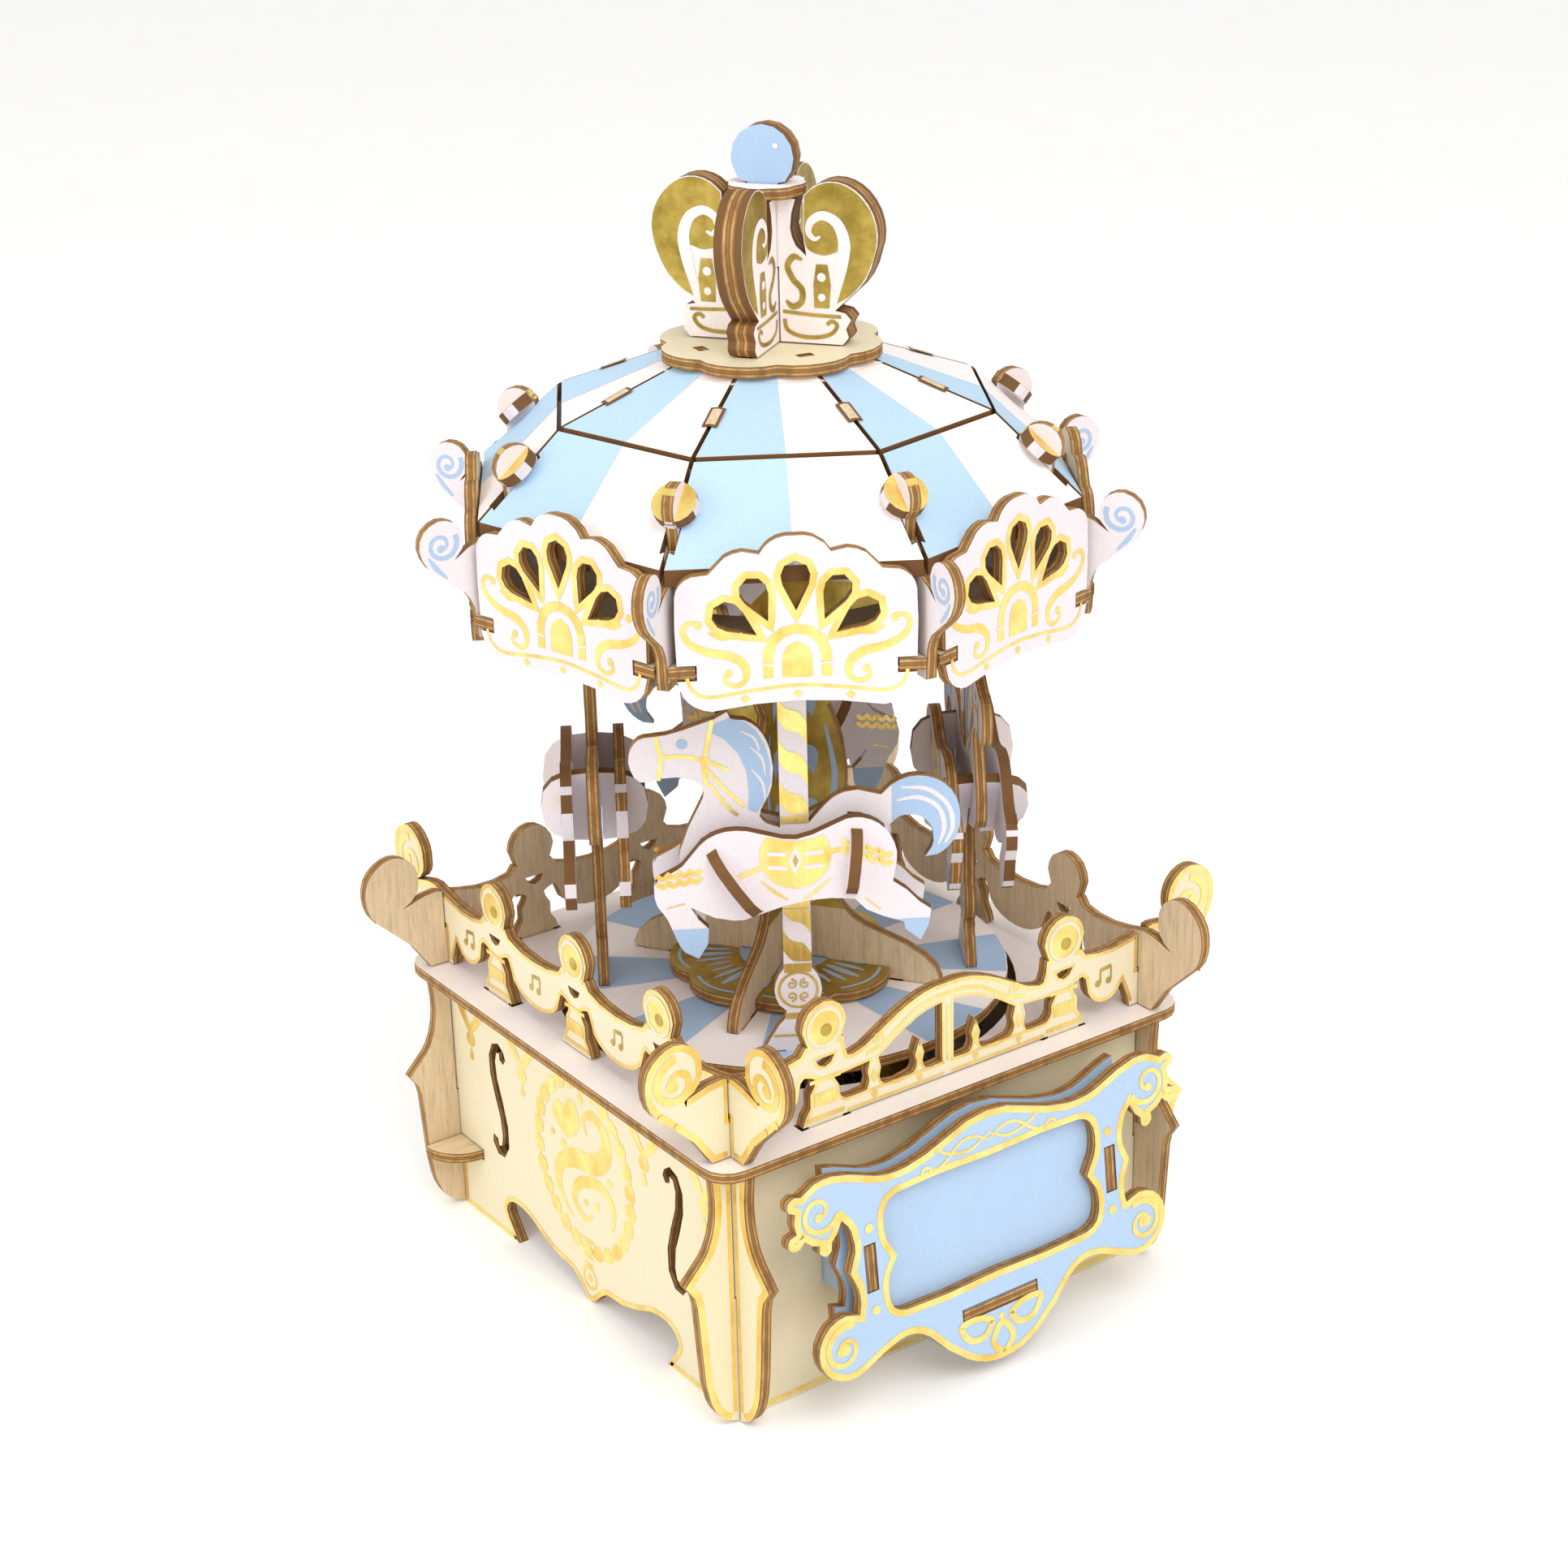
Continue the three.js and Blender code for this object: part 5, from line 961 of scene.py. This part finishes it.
# ------------------------------------------------------------------ horses
def pole_print(plane, low, high, pitch=8.4, half=2.7):
    """Gold bands between two heights that fall to the right and bow as if wound round the pole."""
    columns = 8
    place = low - pitch
    while place < high + pitch:
        run = []
        for column in range(columns + 1):
            share = column / columns
            fall = -pitch * 0.62 * (share - 0.5) - 0.9 * math.sin(2 * math.pi * share) * 0.8
            under = max(low, min(high, place + fall))
            over = max(low, min(high, place + fall + pitch * 0.5))
            run.append((-half + 2 * half * share, under, over))
        outline = [(a, under) for a, under, over in run] + [(a, over) for a, under, over in reversed(run)]
        if max(over - under for a, under, over in run) > 0.3:
            fill(GOLD, plane, outline, layer=2)
        place += pitch


def horse_prints(index, azimuth):
    for side in (-1, 1):
        plane = either_face(azimuth, POLE_RADIUS, side)
        normal = facing(azimuth) * side
        pole = "horse_%d_pole" % index
        # mane and tail
        mane = [(-11.6, 131.4), (-8.8, 130.6), (-6.8, 128.8), (-5.2, 126), (-4.3, 122.4), (-4.2, 118.6),
            (-5.2, 115), (-6.9, 112.2),
                (-8.6, 112.8), (-8.4, 116.6), (-8.7, 120.6), (-10.2, 124.4), (-12.8, 127.4), (-15.6,
                    129.0), (-14.0, 130.6)]
        fill(SKY, plane, mane)
        for start, end in (((-9.6, 128.8), (-6.2, 124.6)), ((-8.0, 125.6), (-5.2, 119.8)),
                ((-7.8, 121.0), (-5.4, 114.6))):
            bend = ((start[0] + end[0]) / 2 + 0.8, (start[1] + end[1]) / 2 + 0.5)
            stroke(LILAC, plane, [start, bend, end], 0.55, layer=2)
        region("carousel", SKY, pole, normal, [((facing(azimuth + 90) * 18.4), -facing(azimuth + 90))])
        for path in (
            [(20.2, 116.0), (25.2, 115.4), (29.0, 112.0), (29.9, 107.6), (28.4, 104.2)],
            [(19.4, 113.4), (23.6, 113.8), (27.2, 111.6), (28.3, 107.6), (27.2, 104.0)],
        ):
            stroke(LILAC, plane, path, 0.9, layer=2)
        # bridle, eye and neck bands
        for path, width in (
            ([(-25.2, 119.6), (-24.6, 124), (-25.4, 128.3)], 0.8),
            ([(-24.8, 124.2), (-20.4, 124.2), (-16.0, 123.0), (-12.0, 121.0)], 0.8),
            ([(-14.8, 131.2), (-15.8, 126.6), (-16.6, 122.4), (-16.2, 118.2)], 0.8),
            ([(-16.2, 121.6), (-12.6, 117.0), (-9.2, 113.6)], 0.7),
            ([(-15.8, 118.6), (-13.0, 114.4), (-10.6, 111.8)], 0.7),
        ):
            stroke(GOLD, plane, path, width, False, layer=2)
        disc(SKY, plane, -20.6, 126.7, 1.0, 2, 16)
        disc(GOLD, plane, -16.3, 123.0, 0.9, 3, 16)
        # pole
        for low, high in ((92.2, 94.2), (78.5, 80.4), (68.6, 69.8)):
            fill(GOLD, plane, [(-2.6, low), (2.6, low), (2.6, high), (-2.6, high)], layer=2)
        pole_print(plane, 80.8, 92.0)
        pole_print(plane, 111.5, 146.0)
        fill(GOLD, plane, [(-2.6, 109.6), (2.6, 109.6), (2.6, 111.3), (-2.6, 111.3)], layer=2)
        ring(GOLD, plane, 0, 74.8, 3.7, 0.5, 2)
        for half in (-1, 1):
            spiral(GOLD, plane, half * 1.3, 76.0, 1.1, 0.3, 90, half * 1.1, 0.4, 2)
            spiral(GOLD, plane, half * 1.3, 73.4, 1.1, 0.3, -90, -half * 1.1, 0.4, 2)
        line(GOLD, plane, [(-4.9, 65.0), (4.9, 65.0)], 0.5, 2)
    for side in (-1, 1):
        plane = either_face(azimuth, POLE_RADIUS + side * SIDE_OFFSET, side)
        body = "horse_%d_body" % index
        normal = facing(azimuth) * side
        shell_cut = (facing(azimuth) * (POLE_RADIUS + side * SIDE_OFFSET), -facing(azimuth) * side)
        region("carousel", SKY, body, normal, [((0, 0, 91.3), (0, 0, 1)), shell_cut])
        for rise in (0, 1.7):
            # start, width, steps, height, climb and hang of the band on the chest and on the rump
            for start, wide, steps, height, climb, hang in (
                (-26.2, 8.2, 32, 100.9, 1.0, 0.9),
                (8.6, 9.2, 56, 106.6, -3.2, 1.0),
            ):
                scallops = []
                for step in range(steps + 1):
                    share = step / steps
                    low = hang * abs(math.sin(share * math.pi * 4))
                    scallops.append((start + wide * share, height + rise + climb * share - low, 0.95))
                ribbon(GOLD, plane, scallops, 2)
        for start, end in (((-11.4, 101.2), (-6.4, 103.4)), ((6.0, 105.9), (9.2, 106.4))):
            line(GOLD, plane, [start, end], 0.95, 2)
        saddle = [(a, min(b, 108.4 + 0.038 * a * a)) for a, b in disc_points(-0.3, 105.4, 6.7, 40)]
        fill(GOLD, plane, saddle, layer=2)
        for rise in (103.2, 106.0):
            line(LILAC, plane, [(-5.6, rise), (-1.9, rise - 0.3)], 0.8, 3)
            line(LILAC, plane, [(1.3, rise - 0.3), (5.0, rise)], 0.8, 3)
        diamond(LILAC, plane, -0.3, 104.4, 1.3, 2.9, 3)
        diamond(GOLD_DARK, plane, -0.3, 104.4, 0.55, 1.4, 4)
        for share in (0, 1):
            stroke(GOLD, plane, [(-6.8 + 13 * share, 100.4), (-4.0 + 7.4 * share, 97.9),
                (-1.8 + 3.0 * share, 96.4)], 0.6, layer=2)
        stroke(GOLD, plane, [(-24.6, 95.8), (-21.2, 96.6)], 0.6, layer=2)
        stroke(GOLD, plane, [(12.8, 96.0), (15.6, 93.4)], 0.6, layer=2)


for index, azimuth in enumerate(horse_azimuth, 1):
    horse_prints(index, azimuth)

# ------------------------------------------------------------------ valances
def valance_prints(index, azimuth):
    name = "valance_%d" % index
    plane = upright(azimuth, VALANCE_RADIUS)
    loops = loops_of(name, plane)
    for hole in loops[1:]:
        if max(p[1] for p in hole) - min(p[1] for p in hole) < 4:
            continue
        band(GOLD, plane, dense(hole, 1.0), -1.25, 1.25)
    arch = [(-6.1, 146.6), (-6.1, 151.2), (-5.0, 154.2), (-2.7, 156.0), (0, 156.6), (2.7, 156.0),
        (5.0, 154.2), (6.1, 151.2), (6.1, 146.6)]
    inner = [(4.3, 146.6), (4.3, 150.8), (3.5, 153.0), (1.9, 154.3), (0, 154.8), (-1.9, 154.3),
        (-3.5, 153.0), (-4.3, 150.8), (-4.3, 146.6)]
    fill(GOLD, plane, arch + inner)
    core = [(-2.7, 146.6), (2.7, 146.6), (2.7, 150.4), (1.9, 152.4), (0, 153.3), (-1.9, 152.4), (-2.7, 150.4)]
    fill(GOLD, plane, core)
    line(LILAC, plane, [(-6.6, 149.2), (-4.2, 149.0)], 0.35, 2)
    line(LILAC, plane, [(4.2, 149.0), (6.6, 149.2)], 0.35, 2)
    for side in (-1, 1):
        curl = [(17.2, 157.4, 0.7), (19.2, 157.4, 0.9), (20.0, 155.6, 1.0), (18.6, 153.4, 1.2),
            (15.4, 151.8, 1.5),
                (11.8, 151.0, 1.7), (9.4, 149.2, 1.5), (9.2, 146.6, 1.1), (10.8, 145.4, 0.9), (12.8,
                    146.2, 0.8), (12.6, 147.8, 0.6)]
        stroke(GOLD, plane, flipped(curl, side))
        disc(GOLD, plane, side * 17.3, 157.0, 0.7, 2, 14)
        disc(GOLD, plane, side * 12.2, 147.8, 0.7, 2, 14)
        stroke(GOLD, plane, flipped([(9.6, 155.2), (13.0, 154.4), (15.6, 155.6)], side), 0.8)
        diamond(GOLD, plane, side * 9.4, 142.9, 0.9, 0.8)
    rim = [(-19.6, 147.2), (-18.9, 145.2), (-17.2, 143.8), (-14.6, 143.5), (-8, 144.4), (0, 145.1),
        (8, 144.4), (14.6, 143.5), (17.2, 143.8), (18.9, 145.2), (19.6, 147.2)]
    stroke(GOLD, plane, rim, 0.65, False)
    diamond(GOLD, plane, 0, 143.5, 0.9, 0.8)


for index, azimuth in enumerate(face_azimuth, 1):
    valance_prints(index, azimuth)

# ------------------------------------------------------------------ roof
for index, azimuth in enumerate(face_azimuth, 1):
    outward = facing(azimuth)
    left_side = facing(azimuth + 90)
    tilt = Vector((outward.x * 0.68, outward.y * 0.68, 0.73))
    region("carousel", ROOF_BLUE, "roof_panel_%d" % index, tilt, [((0, 0, 0), left_side)], agree=0.9)
    shallow = Vector((outward.x * 0.36, outward.y * 0.36, 0.93))
    region("carousel", ROOF_BLUE, "roof_top", shallow,
        [((0, 0, 0), left_side), ((0, 0, 0), -facing(azimuth - 22.5 + 90))], agree=0.985)
CHAR = edge_material((0, 0, 1), 0, 40)
for azimuth in ridge_azimuth:
    # end of a tenon showing through the slot at the middle of each upper ridge
    for side in (-1, 1):
        across = facing(azimuth + 90) * side
        along = Vector((facing(azimuth).x * 22, facing(azimuth).y * 22, -8.6)).normalized()
        centre = facing(azimuth) * 32.0 + Vector((0, 0, 186.05))
        drop_down = Vector((0, 0, -1)) * math.sin(math.radians(22.5)) * 0.39
        lateral = (across + drop_down).normalized()
        for half_long, half_wide, lift, material in ((2.9, 1.5, 0.35, CHAR), (2.3, 0.95, 0.42, BARE)):
            base = centre + Vector((0, 0, lift))
            target = ink("carousel", material)
            corners = [
                base + along * half_long,
                base - along * half_long,
                base - along * half_long + lateral * half_wide,
                base + along * half_long + lateral * half_wide,
            ]
            target.face(corners, Vector((0, 0, 1)))

for index, azimuth in enumerate(ridge_azimuth):
    owner = {0: "column_plate_a", 4: "column_plate_a", 2: "column_plate_b", 6: "column_plate_b"}.get(index)
    owner = owner or "roof_rib_%d" % ((index + 1) // 2)
    for side in (-1, 1):
        plane = radial(azimuth, side)
        spiral(SKY, plane, 68.6, 163.5, 3.3, 0.7, 150, 1.35, 1.0, 1)
        stroke(SKY, plane, [(71.2, 161.4), (69.8, 159.2), (67.8, 157.0)], 0.9)
    outward = facing(azimuth)
    slope_up = Vector((outward.x * 0.668, outward.y * 0.668, 0.744))
    cut = [((0, 0, 168), (0, 0, -1))]
    region("carousel", GOLD, owner, slope_up, cut, agree=0.985)
    region("carousel", WHITE, owner, -slope_up, cut, agree=0.985)

# ------------------------------------------------------------------ crown
def crown_prints(azimuth):
    shoulder = [(14.2, 201.0), (16.8, 202.6), (19.7, 205.9), (21.5, 210.2), (22.1, 214.0), (21.3, 217.7),
                (19.1, 220.9), (16.2, 222.9), (13.0, 223.4), (10.1, 222.4), (8.2, 220.7)]
    inside = [(8.1, 216.6), (8.1, 212.9), (8.9, 210.8), (11.8, 209.9), (14.3, 210.6), (16.6, 210.8),
        (16.3, 207.6), (15.2, 204.0)]
    comma = [(14.1, 203.6, 1.6), (15.2, 208.0, 2.3), (15.8, 212.4, 2.3), (14.5, 215.9, 2.0),
        (11.8, 217.3, 1.7),
             (9.5, 216.2, 1.5), (8.9, 214.2, 1.2), (10.0, 212.9, 0.9), (11.2, 213.4, 0.4)]
    scroll = [(7.6, 208.9), (5.9, 209.4), (4.7, 207.6), (5.7, 205.2), (7.4, 203.3), (7.3, 201.0),
        (5.6, 200.0), (4.3, 201.1)]
    bowl = [(3.9, 197.6), (4.4, 195.6), (6.8, 194.5), (10.2, 194.4), (13.0, 195.2), (14.2, 196.8),
        (13.2, 197.6), (12.2, 196.9)]
    for side in (-1, 1):
        plane = radial(azimuth, side, CROWN_ARM)
        for half in (-1, 1):
            gold = smooth(shoulder, 4) + smooth(inside, 4)
            fill(CROWN_GOLD, plane, flipped(gold, half))
            stroke(WHITE, plane, flipped(comma, half), layer=2)
            strip = [(9.8, 200.0), (12.7, 200.0), (13.1, 204.4), (12.5, 208.2), (10.3, 208.2), (9.7, 204.4)]
            fill(CROWN_GOLD, plane, flipped(strip, half), layer=2)
            for height, radius in ((205.8, 0.85), (202.0, 0.75)):
                disc(WHITE, plane, half * 11.3, height, radius, 3, 16)
            stroke(CROWN_GOLD, plane, flipped(scroll, half), 1.15, layer=2)
            stroke(CROWN_GOLD, plane, flipped([(3.6, 199.0), (9.6, 198.6), (15.0, 198.5)], half), 0.65,
                False, layer=2)
            stroke(CROWN_GOLD, plane, flipped(bowl, half), 0.75, False, layer=2)


crown_prints(ridge_azimuth[0])
crown_prints(ridge_azimuth[2])
# painted highlight: a small white dot off the centre of each face of the sky-blue crown ball
for side in (-1, 1):
    plane = upright(ridge_azimuth[0] if side > 0 else ridge_azimuth[0] + 180, 0, 4.4)
    disc(WHITE, plane, 2.6, 229.6, 0.5, 2, 12)

# ------------------------------------------------------------------ inks become objects
for number, (key, data) in enumerate(sorted(INKS.items())):
    mesh = bpy.data.meshes.new("print_%d" % number)
    mesh.from_pydata([tuple(point * MM) for point in data.points], [], data.faces)
    mesh.materials.append(data.material)
    mesh.update()
    piece = bpy.data.objects.new("print_%s_%s" % (key[0], data.material.name), mesh)
    scene.collection.objects.link(piece)
    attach(piece, data.body)

# ------------------------------------------------------------------ floor and light
floor_mesh = bpy.data.meshes.new("floor")
size = 6.0
floor_mesh.from_pydata(
    [(-size, -size, 0), (size, -size, 0), (size, size, 0), (-size, size, 0)],
    [],
    [(0, 1, 2, 3)],
)
floor = bpy.data.objects.new("floor", floor_mesh)
scene.collection.objects.link(floor)
floor_material, tree, shader = new_material("floor_paper")
grain = noise(tree, scaled_position(tree), 40, 3)
tree.links.new(ramp(tree, grain, [(0.2, (0.89, 0.89, 0.89, 1)), (0.8, (0.92, 0.92, 0.92, 1))]),
    shader.inputs["Base Color"])
shader.inputs["Roughness"].default_value = 0.85
shader.inputs["Emission Color"].default_value = (1, 1, 1, 1)
shader.inputs["Emission Strength"].default_value = 0.14
floor_mesh.materials.append(floor_material)

world = bpy.data.worlds.new("studio")
scene.world = world
world.use_nodes = True
world.node_tree.nodes["Background"].inputs["Color"].default_value = (1.0, 0.995, 0.985, 1)
world.node_tree.nodes["Background"].inputs["Strength"].default_value = 0.84


def area_light(name, place, target, wide, power, colour=(1, 1, 1)):
    data = bpy.data.lights.new(name, "AREA")
    data.shape = "SQUARE"
    data.size = wide
    data.energy = power
    data.color = colour
    light = bpy.data.objects.new(name, data)
    scene.collection.objects.link(light)
    light.location = place
    light.rotation_mode = "QUATERNION"
    light.rotation_quaternion = (Vector(target) - Vector(place)).to_track_quat("-Z", "Y")


area_light("key", (-0.2, -0.9, 1.15), (0, 0, 0.1), 0.8, 9.0)
area_light("fill", (-1.1, 0.1, 0.7), (0, 0, 0.1), 0.9, 4.0)
scene.view_settings.view_transform = "Standard"
scene.view_settings.look = "None"
scene.view_settings.exposure = 0
scene.view_settings.gamma = 1
